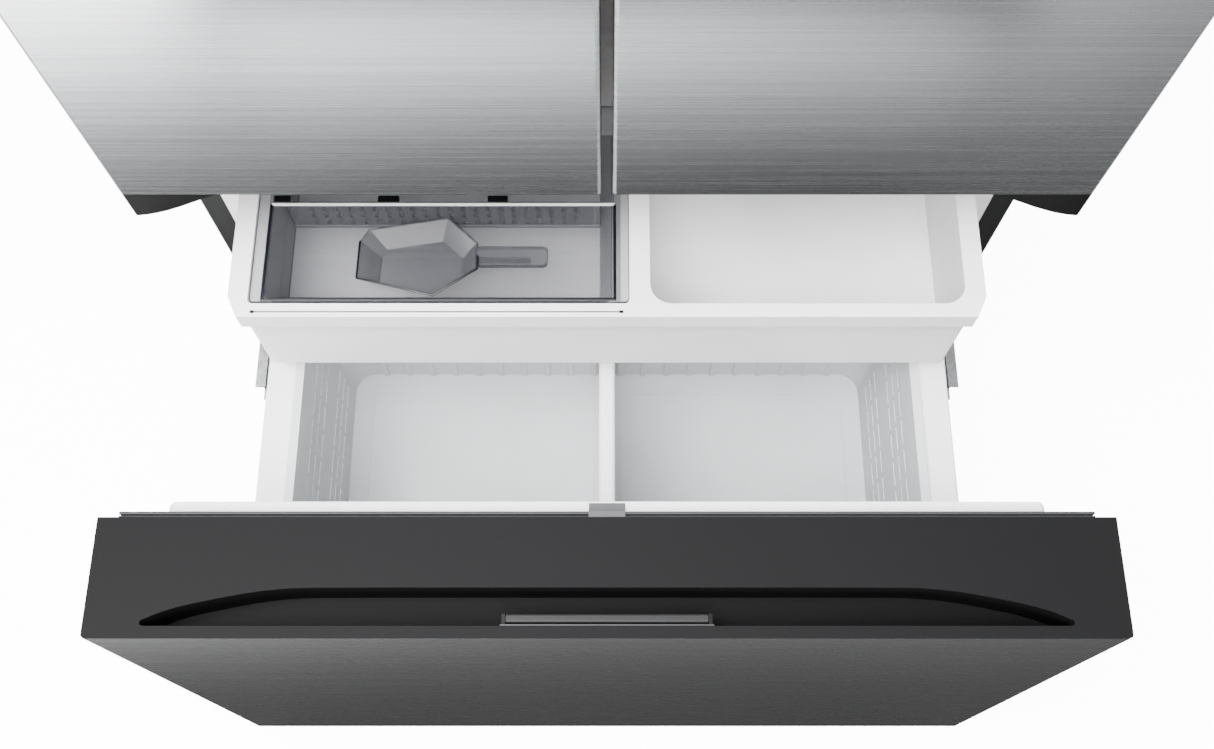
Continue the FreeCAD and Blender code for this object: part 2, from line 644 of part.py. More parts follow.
def slide_rails():
    """Fixed drawer rails, and the ledges that the upper tray runs on."""
    outer = slide_edges()[0]
    f0, f1, z0, z1 = SLIDE_AT, SLIDE_AT + SLIDE_LONG, SLIDE_LOW, SLIDE_LOW + SLIDE_TALL
    f1 = min(f1, STEP_FRONT + 60)
    rail = fused([block(outer - 2, outer, f0, f1, z0, z1),
                  block(outer - SLIDE_OUTER, outer - 2, f0, f1, z0, z0 + 2),
                  block(outer - SLIDE_OUTER, outer - 2, f0, f1, z1 - 2, z1)])
    top = TRAY_RIM - TRAY_LIP - TURN
    inner = TRAY_WIDE / 2 - TRAY_OVERHANG + 1.5
    ledge = fused([block(inner, outer, f0 + 5, TRAY_AT + TRAY_LONG + 20, top - 3, top),
                   block(outer - 3, outer, f0 + 5, TRAY_AT + TRAY_LONG + 20, top - 20, top)])
    save("slide_rails", pair(rail) + pair(ledge))


def slide_middle():
    outer, middle = slide_edges()[:2]
    x1 = outer - 2 - RUN
    x0 = middle - SLIDE_MIDDLE
    f0, f1 = SLIDE_AT + 5, SLIDE_AT + SLIDE_LONG - 25
    z0, z1 = SLIDE_LOW + 2 + RUN, SLIDE_LOW + SLIDE_TALL - 2 - RUN
    bar = fused([block(x0, x0 + 2, f0, f1, z0, z1),
                 block(x0 + 2, x1, f0, f1, z0, z0 + 2),
                 block(x0 + 2, x1, f0, f1, z1 - 2, z1)])
    save("slide_middle", pair(bar), DRAWER_OUT / 2)


def slides_inner():
    """Moving slide members, and the brackets that carry the basket's rim."""
    x1 = slide_edges()[2]
    x0 = x1 - SLIDE_INNER
    f0, f1 = DRAWER_THICK + RIDGE_PROUD, SLIDE_AT + SLIDE_LONG - 45
    z0, z1 = SLIDE_LOW + 8, SLIDE_LOW + SLIDE_TALL - 8
    rim = basket_half() + BASKET_RIM_WIDE
    seat = BASKET_RIM - 13.0
    ledge = block(basket_half() + 0.5, x0, f0, BASKET_AT + BASKET_LONG, seat - 3, seat)
    web = block(x0 - 2, x0, f0, BASKET_AT + BASKET_LONG, z0, seat - 3)
    cover = fused([block(rim + 1, x0, f0, BASKET_AT + BASKET_LONG, seat + 5, seat + 7),
                   block(x0 - 2, x0, f0, BASKET_AT + BASKET_LONG, seat, seat + 5)])
    bar = block(x0, x1, f0, f1, z0, z1)
    save("slides_inner", pair(fused([bar, ledge, web, cover])), DRAWER_OUT)


# ---------------------------------------------------------------- doors
def recess_cut(x_inner, x_outer):
    """Space in front of a door's lower cap, with a gently curved sloped end."""
    run = RECESS_RUN
    deep = RECESS_DEEP
    curve = Part.BSplineCurve()
    curve.interpolate([V(x_outer, 0, 0), V(x_outer - run * 0.2, deep * 0.12, 0),
                       V(x_outer - run * 0.5, deep * 0.55, 0), V(x_outer - run * 0.8, deep * 0.93, 0),
                       V(x_outer - run, deep, 0)])
    corners = [V(x_outer - run, deep, 0), V(x_inner, deep, 0), V(x_inner, -5, 0), V(x_outer, -5, 0),
               V(x_outer, 0, 0)]
    edges = [curve.toShape()]
    for a, b in zip(corners, corners[1:]):
        edges.append(Part.LineSegment(a, b).toShape())
    return Part.Face(Part.Wire(edges))


def door(side_name, place, extras):
    """One door, drawn as the right one and mirrored by place for the left.

    The extras are solids screwed to the inner panel of this door only.
    """
    x0, x1 = DOOR_IN, HALF
    body_top = DOOR_TOP - TOP_CAP
    core_low = STEEL_BOTTOM + CAP_RISE
    skin = folded_front(x0, x1, DOOR_THICK - 6, STEEL_BOTTOM, body_top)
    save(side_name + "_door_skin", [place(skin)])

    boss = rod(HINGE_X, HINGE_AT, DOOR_TOP - HINGE_REACH - 4, 12, HINGE_REACH + 4, Z)
    pin_hole = rod(HINGE_X, HINGE_AT, DOOR_TOP - HINGE_REACH, HINGE_PIN + TURN, HINGE_REACH, Z)
    top_cap = front_rounded(x0, x1, 0, DOOR_THICK, body_top, DOOR_TOP, BEND).fuse(boss).cut(pin_hole)

    in_x0, in_x1 = x0 + SHEET, x1 - SHEET
    upper = front_rounded(in_x0, in_x1, SHEET, DOOR_THICK - 6, STEEL_BOTTOM, core_low, BEND - SHEET)
    lower = front_rounded(x0, x1, 0, DOOR_THICK - 6, DOOR_BOTTOM, STEEL_BOTTOM, BEND)
    under = recess_cut(x0 - 1, x1)
    under.translate(V(0, 0, DOOR_BOTTOM - 1))
    lower = lower.cut(under.extrude(V(0, 0, CAP_DROP + 1)))
    pocket_out = x1 - RECESS_RUN
    pocket = block(x0 + 12, pocket_out, RECESS_LIP, RECESS_DEEP, STEEL_BOTTOM - 1, STEEL_BOTTOM + RECESS_UP)
    bore = rod(HINGE_X, HINGE_AT, DOOR_BOTTOM, HINGE_PIN + TURN, HINGE_REACH, Z)
    bottom_cap = fused([lower, upper]).cut(pocket).cut(bore)
    save(side_name + "_door_caps", [place(top_cap), place(bottom_cap)])

    core = front_rounded(in_x0, in_x1, SHEET, DOOR_THICK - 6, core_low, body_top, BEND - SHEET)
    save(side_name + "_door_core", [place(core.cut(boss))])

    save(side_name + "_door_liner", [place(door_liner(x0, x1, body_top))] + extras)

    seal = frame_of(x0 + 3, HALF - SEAL_INSET, DOOR_THICK, SEAL_BACK,
                    DOOR_BOTTOM + 2, DOOR_TOP - 9, SEAL_WIDE)
    save(side_name + "_door_gasket", [place(seal)])

    bins = []
    for z in bin_heights():
        bins.append(place(door_bin(z)))
    save(side_name + "_door_bins", bins)


def dike_edges():
    return DOOR_IN + DIKE_FROM_INNER, HALF - DIKE_FROM_OUTER


def bin_heights():
    low = cover_low() + COVER_BAR + 16
    pitch = (DOOR_TOP - 40 - low) / BIN_COUNT
    return [low + pitch * i for i in range(BIN_COUNT)]


def door_liner(x0, x1, body_top):
    """Inner door panel with a raised dike and the lugs that carry the bins."""
    d0, d1 = dike_edges()
    plate = block(x0, x1, DOOR_THICK - 6, DOOR_THICK, DOOR_BOTTOM, body_top)
    dike = frame_of(d0, d1, DOOR_THICK, DOOR_THICK + DIKE_PROUD, FRESH_FLOOR + 22, DOOR_TOP - 56, DIKE_WIDE)
    lugs = []
    for z in bin_heights():
        for x in (d0 + DIKE_WIDE, d1 - DIKE_WIDE - 8):
            lugs.append(block(x, x + 8, DOOR_THICK, DOOR_THICK + DIKE_PROUD - 4, z - 8, z))
    return fused([plate, dike] + lugs)


def door_bin(z):
    d0, d1 = dike_edges()
    x0, x1 = d0 + DIKE_WIDE + RUN, d1 - DIKE_WIDE - RUN
    return tub(x0, x1, DOOR_THICK + 2, DOOR_THICK + BIN_DEEP, z, z + BIN_TALL, 12, MOULD)


def flip_heights():
    return FRESH_FLOOR + 30, FRESH_TOP - 10


def flip_mullion():
    """Hinged strip on the left door's free edge that backs the gap between the doors."""
    z0, z1 = flip_heights()
    x0 = FLIP_AXIS_X - 14.5
    f0 = FLIP_AXIS_AT - 4.5
    strip = rounded_block(x0, x0 + FLIP_THICK, f0, f0 + FLIP_LONG, z0, z1, 3)
    for z in (z0, z1 - 14):
        strip = strip.cut(rod(FLIP_AXIS_X, FLIP_AXIS_AT, z, FLIP_PIN + TURN, 14, Z))
    save("flip_mullion", [strip])


def flip_brackets():
    """Two brackets with pins, screwed to the left door's liner inside the gasket."""
    z0, z1 = flip_heights()
    x0 = -DOOR_IN - DIKE_FROM_INNER + 1.5
    brackets = []
    for low, pin_from in ((z0 - 6 - TURN, z0 - TURN), (z1 + TURN, z1 - 12)):
        foot = block(x0, -26, DOOR_THICK, FLIP_AXIS_AT - 6, low, low + 6)
        arm = block(x0, FLIP_AXIS_X + 7, FLIP_AXIS_AT - 6, FLIP_AXIS_AT + 7, low, low + 6)
        stub = rod(FLIP_AXIS_X, FLIP_AXIS_AT, pin_from, FLIP_PIN, 12 + TURN, Z)
        brackets.append(fused([foot, arm, stub]))
    return brackets


# ---------------------------------------------------------------- freezer drawer front
def pull_outline(z):
    """Handle recess in plan: straight front, arched ends, straight back."""
    half = PULL_LONG / 2
    f0 = PULL_FROM
    f1 = PULL_FROM + PULL_DEEP
    nose = PULL_NOSE
    inner = half - PULL_SWEEP
    front = Part.LineSegment(V(-half + nose / 2, f0, z), V(half - nose / 2, f0, z)).toShape()
    back = Part.LineSegment(V(inner, f1, z), V(-inner, f1, z)).toShape()
    sides = []
    for s in (1, -1):
        tip = Part.Arc(V(s * (half - nose / 2), f0, z), V(s * half, f0 + nose / 2, z),
                       V(s * (half - nose / 2), f0 + nose, z)).toShape()
        sweep = Part.BSplineCurve()
        bend = [V(s * (half - PULL_SWEEP * along), f0 + PULL_DEEP * deep, z) for along, deep in PULL_ARC]
        sweep.interpolate([V(s * (half - nose / 2), f0 + nose, z)] + bend + [V(s * inner, f1, z)])
        sides.append([tip, sweep.toShape()])
    edges = [front] + sides[0] + [back] + sides[1][::-1]
    return Part.Face(Part.Wire(Part.__sortEdges__(edges)))


def drawer_front():
    """Steel face, moulded caps, foam core, inner panel and gasket."""
    cap_low = DRAWER_TOP - PULL_DOWN - 10
    steel_top = DRAWER_TOP - CAP_PLATE
    foot = DRAWER_BOTTOM + 14
    back = DRAWER_THICK - 6
    skin = folded_front(-HALF, HALF, back, foot, steel_top)
    save("drawer_skin", [skin], DRAWER_OUT)

    plug = front_rounded(-IN_SHEET, IN_SHEET, SHEET, back, cap_low, steel_top, BEND - SHEET)
    plate = front_rounded(-HALF, HALF, 0, DRAWER_THICK, steel_top, DRAWER_TOP, BEND)
    recess = pull_outline(DRAWER_TOP - PULL_DOWN).extrude(V(0, 0, PULL_DOWN + 1))
    save("drawer_top_cap", [fused([plug, plate]).cut(recess)], DRAWER_OUT)

    base = front_rounded(-HALF, HALF, 0, DRAWER_THICK, DRAWER_BOTTOM, foot, BEND)
    save("drawer_bottom_cap", [base], DRAWER_OUT)

    core = front_rounded(-IN_SHEET, IN_SHEET, SHEET, back, foot, cap_low, BEND - SHEET)
    save("drawer_core", [core], DRAWER_OUT)

    plate = block(-HALF, HALF, back, DRAWER_THICK, foot, steel_top)
    half = LINER_HALF - 5
    low, high = FREEZER_FLOOR + 10, FREEZER_TOP - RIDGE_GAP
    ridge_back = DRAWER_THICK + RIDGE_PROUD
    ridge = frame_of(-half, half, DRAWER_THICK, ridge_back, low, high, RIDGE_WIDE)
    ends = [e for e in ridge.Edges if abs(abs(e.CenterOfMass.x) - half) < 0.01
            and e.CenterOfMass.y > DRAWER_THICK + 1]
    ridge = ridge.makeFillet(RIDGE_ROUND, ends)
    save("drawer_liner", [fused([plate, ridge])], DRAWER_OUT)

    half = HALF - SEAL_INSET
    seal_top = DRAWER_TOP - DRAWER_SEAL_DOWN
    seal = frame_of(-half, half, DRAWER_THICK, SEAL_BACK, foot + 10, seal_top, SEAL_WIDE)
    wide = CLIP_WIDE / 2
    gap = block(-wide - RUN, wide + RUN, DRAWER_THICK, SEAL_BACK, high, seal_top)
    save("drawer_gasket", [seal.cut(gap)], DRAWER_OUT)

    clip = fused([block(-wide, wide, DRAWER_THICK, SEAL_BACK, high, seal_top + CLIP_THICK),
                  front_rounded(-wide, wide, DRAWER_THICK, ridge_back - 2, high, high + CLIP_THICK, 1)])
    save("divider_clip", [clip], DRAWER_OUT)


def lever_place():
    """Depth and height of the release lever's pivot."""
    return PULL_FROM + BRACKET_THICK + LEVER_GAP + LEVER_THICK / 2, DRAWER_TOP - 8.0


def release_lever():
    """Spring-loaded bar behind the front lip, and the bracket that holds its pins."""
    f, z = lever_place()
    half = LEVER_LONG / 2
    low = z + 5 - LEVER_TALL
    bar = block(-half, half, f - LEVER_THICK / 2, f + LEVER_THICK / 2, low, z + 4)
    edges = [e for e in bar.Edges if abs(e.Length - LEVER_LONG) < 0.01]
    bar = bar.makeFillet(2.5, edges)
    pins = [rod(-half - 3.4, f, z, 2, LEVER_LONG + 6.8, X)]
    save("release_lever", [fused([bar] + pins)], DRAWER_OUT)
    out = half + BRACKET_WIDER
    back = PULL_FROM + BRACKET_THICK
    plate = block(-out, out, PULL_FROM, back, low, DRAWER_TOP - 2)
    ears = pair(block(half + 0.4, half + 3.8, back, f + 4, z - 4, z + 4))
    bore = rod(-out, f, z, 2 + TURN, 2 * out, X)
    save("lever_bracket", [fused([plate] + ears).cut(bore)], DRAWER_OUT)


# ---------------------------------------------------------------- baskets and trays
def basket_half():
    return BASKET_WIDE / 2


def lower_basket():
    """Deep bin hung by its rim on the drawer slides, with slotted sides."""
    half = basket_half()
    f0, f1 = BASKET_AT, BASKET_AT + BASKET_LONG
    body = tub(-half, half, f0, f1, BASKET_FLOOR, BASKET_RIM, 30, MOULD, BASKET_LEAN)
    rim_half = half + BASKET_RIM_WIDE
    rim = rounded_block(-rim_half, rim_half, f0 - 3, f1 + 3, BASKET_RIM - 13, BASKET_RIM, 34)
    rim = rim.cut(rounded_block(-half + 1.5, half - 1.5, f0 + 1.5, f1 - 1.5,
                                BASKET_RIM - 13, BASKET_RIM, 28))
    slots = []
    for group in SLOT_GROUPS:
        for z in (group - SLOT_RISE, group, group + SLOT_RISE):
            for f in spread(f0 + SLOT_FROM_END, f1 - SLOT_FROM_END, SLOTS_ALONG):
                for x in (-half - SLOT_CUT / 2, half - SLOT_CUT / 2):
                    slots.append(block(x, x + SLOT_CUT, f - SLOT_LONG / 2, f + SLOT_LONG / 2, z - 2, z + 2))
    save("lower_basket", [slotted(fused([body, rim]), slots)], DRAWER_OUT)

    wall = block(-SPLIT_WIDE / 2, SPLIT_WIDE / 2, f0 + 12, f1 - 12,
                 BASKET_FLOOR + MOULD, BASKET_RIM - 16)
    top = [e for e in wall.Edges if e.Length > BASKET_LONG / 2 and e.CenterOfMass.z > BASKET_FLOOR + 100]
    save("basket_divider", [wall.makeFillet(5, top)], DRAWER_OUT)


def upper_tray():
    """Sliding tray with a broad rim and a fixed divider."""
    half = TRAY_WIDE / 2
    body_half = half - TRAY_OVERHANG
    f0, f1 = TRAY_AT, TRAY_AT + TRAY_LONG
    b0, b1 = f0 + TRAY_FRONT_WALL, f1 - TRAY_OVERHANG
    rim_low = TRAY_RIM - 5.0
    body = tub(-body_half, body_half, b0, b1, TRAY_FLOOR, rim_low, TRAY_CORNER, MOULD)
    c = TRAY_CHAMFER
    k = 10.5
    outline = [(-half + k, f0), (half - k, f0), (half, f0 + c), (half, f1), (-half, f1), (-half, f0 + c)]
    rim = plan_profile(outline, TRAY_RIM - TRAY_LIP, TRAY_RIM)
    lip_in = [(-half + k + 2, f0 + 2.5), (half - k - 2, f0 + 2.5), (half - 2.5, f0 + c + 1),
              (half - 2.5, f1 - 2.5), (-half + 2.5, f1 - 2.5), (-half + 2.5, f0 + c + 1)]
    rim = rim.cut(plan_profile(lip_in, TRAY_RIM - TRAY_LIP, rim_low))
    open_half = half - TRAY_SIDE_RIM
    o0, o1 = f0 + TRAY_FRONT_RIM, f1 - TRAY_FRONT_RIM
    split0, split1 = TRAY_SPLIT_AT, TRAY_SPLIT_AT + TRAY_SPLIT_WIDE
    left_hole = rounded_block(-open_half, split0, o0, o1, rim_low, TRAY_RIM, TRAY_CORNER)
    right_hole = rounded_block(split1, open_half, o0, o1, rim_low, TRAY_RIM, 22)
    rim = rim.cut(left_hole).cut(right_hole)
    split = block(split0, split1, b0 + MOULD, b1 - MOULD, TRAY_FLOOR + MOULD, rim_low)
    seat = TRAY_RIM - 6.0
    ice0, ice1 = ice_span()
    shelf = [block(-body_half + MOULD, -open_half + ICE_FLANGE - 2, ice0, ice1, seat - 6, seat),
             block(split0 - ICE_FLANGE + 4, split0, ice0, ice1, seat - 6, seat)]
    tray = fused([body, rim, split] + shelf)
    save("upper_tray", [tray], TRAY_OUT)


def ice_span():
    front = TRAY_AT + TRAY_FRONT_RIM + ICE_FRONT_GAP
    return front, front + ICE_LONG


def ice_bin():
    """Clear bin hung in the tray's left side, with a pierced cross wall in front of its ice space."""
    half = TRAY_WIDE / 2
    x0 = -half + TRAY_SIDE_RIM + 0.5
    x1 = TRAY_SPLIT_AT - 0.5
    f0, f1 = ice_span()
    top = TRAY_RIM - MOULD
    low = top - ICE_DEEP
    w0, w1 = x0 + ICE_FLANGE, x1 - ICE_FLANGE - 2
    body = tub(w0, w1, f0, f1, low, top, ICE_CORNER, MOULD, ICE_LEAN)
    flange_at = TRAY_AT + TRAY_FRONT_WALL + MOULD + RUN
    flange = rounded_block(x0, x1, flange_at, f1, top - MOULD, top, TRAY_CORNER)
    flange = flange.cut(rounded_block(w0 + 1, w1 - 1, f0 + 1, f1 - 1, top - MOULD, top, ICE_CORNER - 1))
    wall_at = f0 + ICE_SPLIT_AT
    wall = block(w0 + ICE_LEAN + 1, w1 - ICE_LEAN - 1, wall_at, wall_at + MOULD, low + MOULD, top)
    holes = []
    for z in spread(low + 14, top - 10, 3):
        for x in spread(w0 + 40, w1 - 40, 22):
            holes.append(rod(x, wall_at - 1, z, 2.5, MOULD + 2, Y))
    wall = slotted(wall, holes)
    save("ice_bin", [fused([body, flange, wall])], TRAY_OUT)


def ice_scoop():
    """Six-sided bowl with a flat handle and a rib under it."""
    f0 = ice_span()[0]
    z0 = TRAY_RIM - ICE_DEEP + TURN
    z1 = z0 + SCOOP_TALL
    outline = [(-251, 91), (-259, 77), (-260, 34), (-180, 14), (-135, 45), (-135, 75), (-167, 105)]
    centre_x, centre_f = -197.0, 60.0

    def ring(z, share):
        points = [V(centre_x + (x - centre_x) * share, f0 + centre_f + (f - centre_f) * share, z)
                  for x, f in outline]
        return Part.makePolygon(points + points[:1])

    outer = Part.makeLoft([ring(z0, 0.72), ring(z1, 1.0)], True, True)
    inner = Part.makeLoft([ring(z0 + 2, 0.69), ring(z1 + 2, 0.98)], True, True)
    handle = rounded_block(-137.5, -62, f0 + 49, f0 + 71, z1 - 6, z1, 6)
    rib = block(-139, -80, f0 + 59, f0 + 61, z1 - 16, z1 - 5)
    shape = outer.fuse([handle, rib]).cut(inner)
    save("ice_scoop", [shape.removeSplitter()], TRAY_OUT)


# ---------------------------------------------------------------- machine space
def machine_mid():
    return (MACHINE_FRONT + BACK_SHEET - 28) / 2


def shroud_x():
    return 20.0


def shroud_z():
    return PLATE_TOP + CONDENSER_FAN + 22.0


def compressor_x():
    return -220.0


def compressor():
    """Welded shell on a foot plate with four rubber mounts."""
    x, f = compressor_x(), machine_mid()
    low = PLATE_TOP + 16
    r = COMPRESSOR_RADIUS
    drum = rod(x, f, low, r, COMPRESSOR_TALL, Z)
    drum = drum.makeFillet(34, drum.Edges[0:1] + drum.Edges[2:3])
    foot = block(x - 95, x + 95, f - 60, f + 60, low - 3, low)
    mounts = []
    for dx in (-82, 82):
        for df in (-48, 48):
            mounts.append(rod(x + dx, f + df, PLATE_TOP, 11, 16 - 3, Z))
    box = block(x - r - 24, x - r + 6, f - 30, f + 30, low + 50, low + 110)
    save("compressor", [fused([drum, foot, box] + mounts)])


def condenser_coil():
    x0 = shroud_x() + 40
    x1 = LINER_HALF - 60
    f = machine_mid()
    coil = finned_coil(x0, x1, f - 80, f + 80, PLATE_TOP + 26, MACHINE_TOP - 20, 4, 5, 16)
    legs = [block(x, x + 3, f - 86, f - 80, PLATE_TOP, PLATE_TOP + 60) for x in (x0, x1 - 3)]
    legs += [block(x, x + 3, f + 80, f + 86, PLATE_TOP, PLATE_TOP + 60) for x in (x0, x1 - 3)]
    save("condenser_coil", [coil] + legs)


def drain_pan():
    x0 = shroud_x() + 28
    f = machine_mid()
    save("drain_pan", [tub(x0, LINER_HALF - 40, f - 76, f + 76, PLATE_TOP, PLATE_TOP + 24, 10, 2)])


def fan_shroud():
    """Plate with a round opening, and the bridge that carries the condenser fan's spindle."""
    x, f, z = shroud_x(), machine_mid(), shroud_z()
    plate = block(x, x + 4, MACHINE_FRONT, BACK_SHEET - 28, PLATE_TOP, MACHINE_TOP)
    plate = plate.cut(rod(x, f, z, CONDENSER_FAN + 4, 4, X))
    far = x - 44
    bridge = [block(far, far + 4, f - CONDENSER_FAN - 12, f + CONDENSER_FAN + 12, z - 10, z + 10)]
    for df in (-CONDENSER_FAN - 12, CONDENSER_FAN + 8):
        bridge.append(block(far, x, f + df, f + df + 4, z - 10, z + 10))
    spindle = rod(far + 4, f, z, 3, 34, X)
    save("fan_shroud", [fused([plate, spindle] + bridge)])


def bent_tube(points, bend, radius):
    """Tube through a list of corners, with an arc of one radius at each bend."""
    edges = []
    start = points[0]
    for before, corner, after in zip(points, points[1:], points[2:]):
        a = (before - corner).normalize()
        b = (after - corner).normalize()
        half = a.getAngle(b) / 2
        back = bend / math.tan(half)
        middle = (a + b).normalize() * (bend / math.sin(half) - bend)
        into, out = corner + a * back, corner + b * back
        edges.append(Part.LineSegment(start, into).toShape())
        edges.append(Part.Arc(into, corner + middle, out).toShape())
        start = out
    edges.append(Part.LineSegment(start, points[-1]).toShape())
    path = Part.Wire(edges)
    ring = Part.Wire(Part.makeCircle(radius, points[0], points[1] - points[0]))
    return path.makePipeShell([ring], True, False)


def refrigerant_tubes():
    """Discharge tube to the condenser, and suction tube up through the step."""
    x, f = compressor_x(), machine_mid()
    top = PLATE_TOP + 16 + COMPRESSOR_TALL
    run = MACHINE_TOP - 12
    discharge = bent_tube([V(x + 30, f + 20, top), V(x + 30, f + 20, run), V(x + 30, f + 94, run),
                           V(x + 30, f + 94, PLATE_TOP + 16), V(shroud_x() - 14, f + 94, PLATE_TOP + 16)],
                          10, 3)
    suction = bent_tube([V(x - 20, f - 20, top), V(x - 20, f - 20, run), V(x - 20, f - 96, run),
                         V(x - 110, f - 96, run), V(x - 110, f - 96, MACHINE_TOP - 40)], 10, 4)
    save("refrigerant_tubes", [discharge, suction])


def main():
    os.makedirs("parts", exist_ok=True)
    cabinet_shell()
    back_panel()
    machine_cover()
    insulation()
    fresh_food_liner()
    freezer_liner()
    mullion_cover()
    base_frame()
    rear_rollers()
    levelling_feet()
    toe_grille()
    door_hinges()
    hinge_covers()
    shelves()
    shelf_ladders()
    air_duct_cover()
    crispers()
    evaporator_cover()
    fans()
    evaporator()
    ice_maker()
    slide_rails()
    slide_middle()
    slides_inner()
    door("right", lambda shape: shape, [])
    door("left", mirrored, flip_brackets())
    flip_mullion()
    drawer_front()
    release_lever()
    lower_basket()
    upper_tray()
    ice_bin()
    ice_scoop()
    compressor()
    condenser_coil()
    drain_pan()
    fan_shroud()
    refrigerant_tubes()


main()
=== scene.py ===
import json
import math

import bmesh
import bpy
from mathutils import Matrix, Vector

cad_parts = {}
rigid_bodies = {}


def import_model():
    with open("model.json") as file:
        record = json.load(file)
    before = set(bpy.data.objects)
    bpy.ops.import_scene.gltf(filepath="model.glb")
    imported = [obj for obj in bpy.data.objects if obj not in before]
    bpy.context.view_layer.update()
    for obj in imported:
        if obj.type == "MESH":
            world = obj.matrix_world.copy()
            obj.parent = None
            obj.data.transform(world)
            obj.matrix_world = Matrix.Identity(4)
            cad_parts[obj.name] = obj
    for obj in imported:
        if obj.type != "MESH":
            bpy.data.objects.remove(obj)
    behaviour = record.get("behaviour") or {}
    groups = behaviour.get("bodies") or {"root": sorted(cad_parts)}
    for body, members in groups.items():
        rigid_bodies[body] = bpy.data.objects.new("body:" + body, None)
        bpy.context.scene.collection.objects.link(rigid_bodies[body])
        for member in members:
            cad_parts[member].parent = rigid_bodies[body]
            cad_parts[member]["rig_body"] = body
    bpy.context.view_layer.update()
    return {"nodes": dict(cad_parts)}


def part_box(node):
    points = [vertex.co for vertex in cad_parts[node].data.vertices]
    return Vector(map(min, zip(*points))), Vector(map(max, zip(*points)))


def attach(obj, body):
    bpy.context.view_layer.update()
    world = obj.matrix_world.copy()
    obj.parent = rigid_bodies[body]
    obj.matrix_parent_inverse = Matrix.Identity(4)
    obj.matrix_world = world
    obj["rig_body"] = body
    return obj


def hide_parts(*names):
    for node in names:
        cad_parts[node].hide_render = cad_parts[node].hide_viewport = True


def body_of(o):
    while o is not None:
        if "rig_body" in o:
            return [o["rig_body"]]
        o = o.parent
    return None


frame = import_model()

nodes = frame["nodes"]
MM = 0.001

# Camera: stands in front of the doors a little above their top and looks steeply down
# on the open drawer.  The frame is 1214 x 749.
CAMERA_AHEAD = 610.5 * MM
CAMERA_HEIGHT = 1.8174
CAMERA_TILT = math.radians(21.7)
door_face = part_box("left_door_skin")[0].y
camera_data = bpy.data.cameras.new("camera")
camera_data.sensor_width = 36.0
camera_data.lens = 39.11
camera_data.clip_start = 0.02
camera = bpy.data.objects.new("camera", camera_data)
camera.location = (0, door_face - CAMERA_AHEAD, CAMERA_HEIGHT)
camera.rotation_euler = (CAMERA_TILT, 0, 0)
bpy.context.scene.collection.objects.link(camera)
bpy.context.scene.camera = camera


# Studio floor: a broad white sweep under the refrigerator, which glows so that it stays white where it is
# seen.
# For the rays that the steel mirrors it is painted dark close to the drawer and towards the right, and it
# glows further out in front and to the left. So the steel sees little of it close to the drawer and more
# of it from further out in front.
def linear(hex_colour):
    """sRGB hex to a linear colour with full alpha."""
    parts = [int(hex_colour[i:i + 2], 16) / 255 for i in (1, 3, 5)]
    return [p / 12.92 if p <= 0.04045 else ((p + 0.055) / 1.055) ** 2.4 for p in parts] + [1.0]


def add(tree, kind, inputs=(), **settings):
    """Adds one node, with its settings and with values or links for its inputs."""
    node = tree.nodes.new(kind)
    for name, value in settings.items():
        setattr(node, name, value)
    for name, value in dict(inputs).items():
        if isinstance(value, bpy.types.NodeSocket):
            tree.links.new(value, node.inputs[name])
        else:
            node.inputs[name].default_value = value
    return node


def new_material(name, **sockets):
    """A material with one Principled shader, whose even values sit on its own sockets."""
    material = bpy.data.materials.new(name)
    material.use_nodes = True
    shader = material.node_tree.nodes["Principled BSDF"]
    for socket, value in sockets.items():
        shader.inputs[socket.replace("_", " ")].default_value = value
    return material, material.node_tree, shader


def link_object(name, bm, material):
    """Turns a bmesh into an object at the origin, in one material."""
    mesh = bpy.data.meshes.new(name)
    bm.to_mesh(mesh)
    bm.free()
    mesh.materials.append(material)
    piece = bpy.data.objects.new(name, mesh)
    bpy.context.scene.collection.objects.link(piece)
    return piece


FLOOR_HALF = 14.0
FLOOR_WHITE, FLOOR_SHADE = "#f4f4f4", "#3a3a3a"
NEAR_FLOOR, FAR_FLOOR = -0.79, -1.12        # y where the sweep starts to light the steel, and is full
SIDE_REACH, SIDE_FAINT = 0.9, 0.05          # full this far to the left, faint as far to the right
OPEN_FROM, OPEN_TO, OPEN_TONE = 1.3, 2.4, 0.4       # x of the half-white sweep beside the cabinet
BAND_FROM, BAND_TO = -1.6, -2.8             # y where the glow fades out in front
NEAR_GLOW, DISTANT_GLOW, SEEN_GLOW = 9.0, 0.5, 11.0
paint, tree, shader = new_material("glowing_floor_paint", Roughness=0.9, Specular_IOR_Level=0.1)
shader.inputs["Emission Color"].default_value = linear("#ffffff")
seen = add(tree, "ShaderNodeLightPath").outputs["Is Camera Ray"]
coordinates = add(tree, "ShaderNodeTexCoord")
away = add(tree, "ShaderNodeSeparateXYZ", {"Vector": coordinates.outputs["Object"]})
fade = add(tree, "ShaderNodeMapRange", {"Value": away.outputs["Y"], "From Min": NEAR_FLOOR,
                                        "From Max": FAR_FLOOR}, interpolation_type="SMOOTHSTEP")
leftward = add(tree, "ShaderNodeMapRange", {"Value": away.outputs["X"], "From Min": SIDE_REACH,
                                            "From Max": -SIDE_REACH, "To Min": SIDE_FAINT,
                                            "To Max": 1.0})
lit = add(tree, "ShaderNodeMath", {0: fade.outputs["Result"], 1: leftward.outputs["Result"]},
          operation="MULTIPLY")
beside = add(tree, "ShaderNodeMath", {0: away.outputs["X"]}, operation="ABSOLUTE")
open_side = add(tree, "ShaderNodeMapRange", {"Value": beside.outputs["Value"], "From Min": OPEN_FROM,
                                             "From Max": OPEN_TO, "To Max": OPEN_TONE})
tone = add(tree, "ShaderNodeMath", {0: lit.outputs["Value"], 1: open_side.outputs["Result"]},
           operation="MAXIMUM")
# Painted shade for mirrored rays: dark near the drawer and to the right, white further out and to the
# left.
shade = add(tree, "ShaderNodeMix", {0: tone.outputs["Value"], 6: linear(FLOOR_SHADE),
                                    7: linear(FLOOR_WHITE)}, data_type="RGBA")
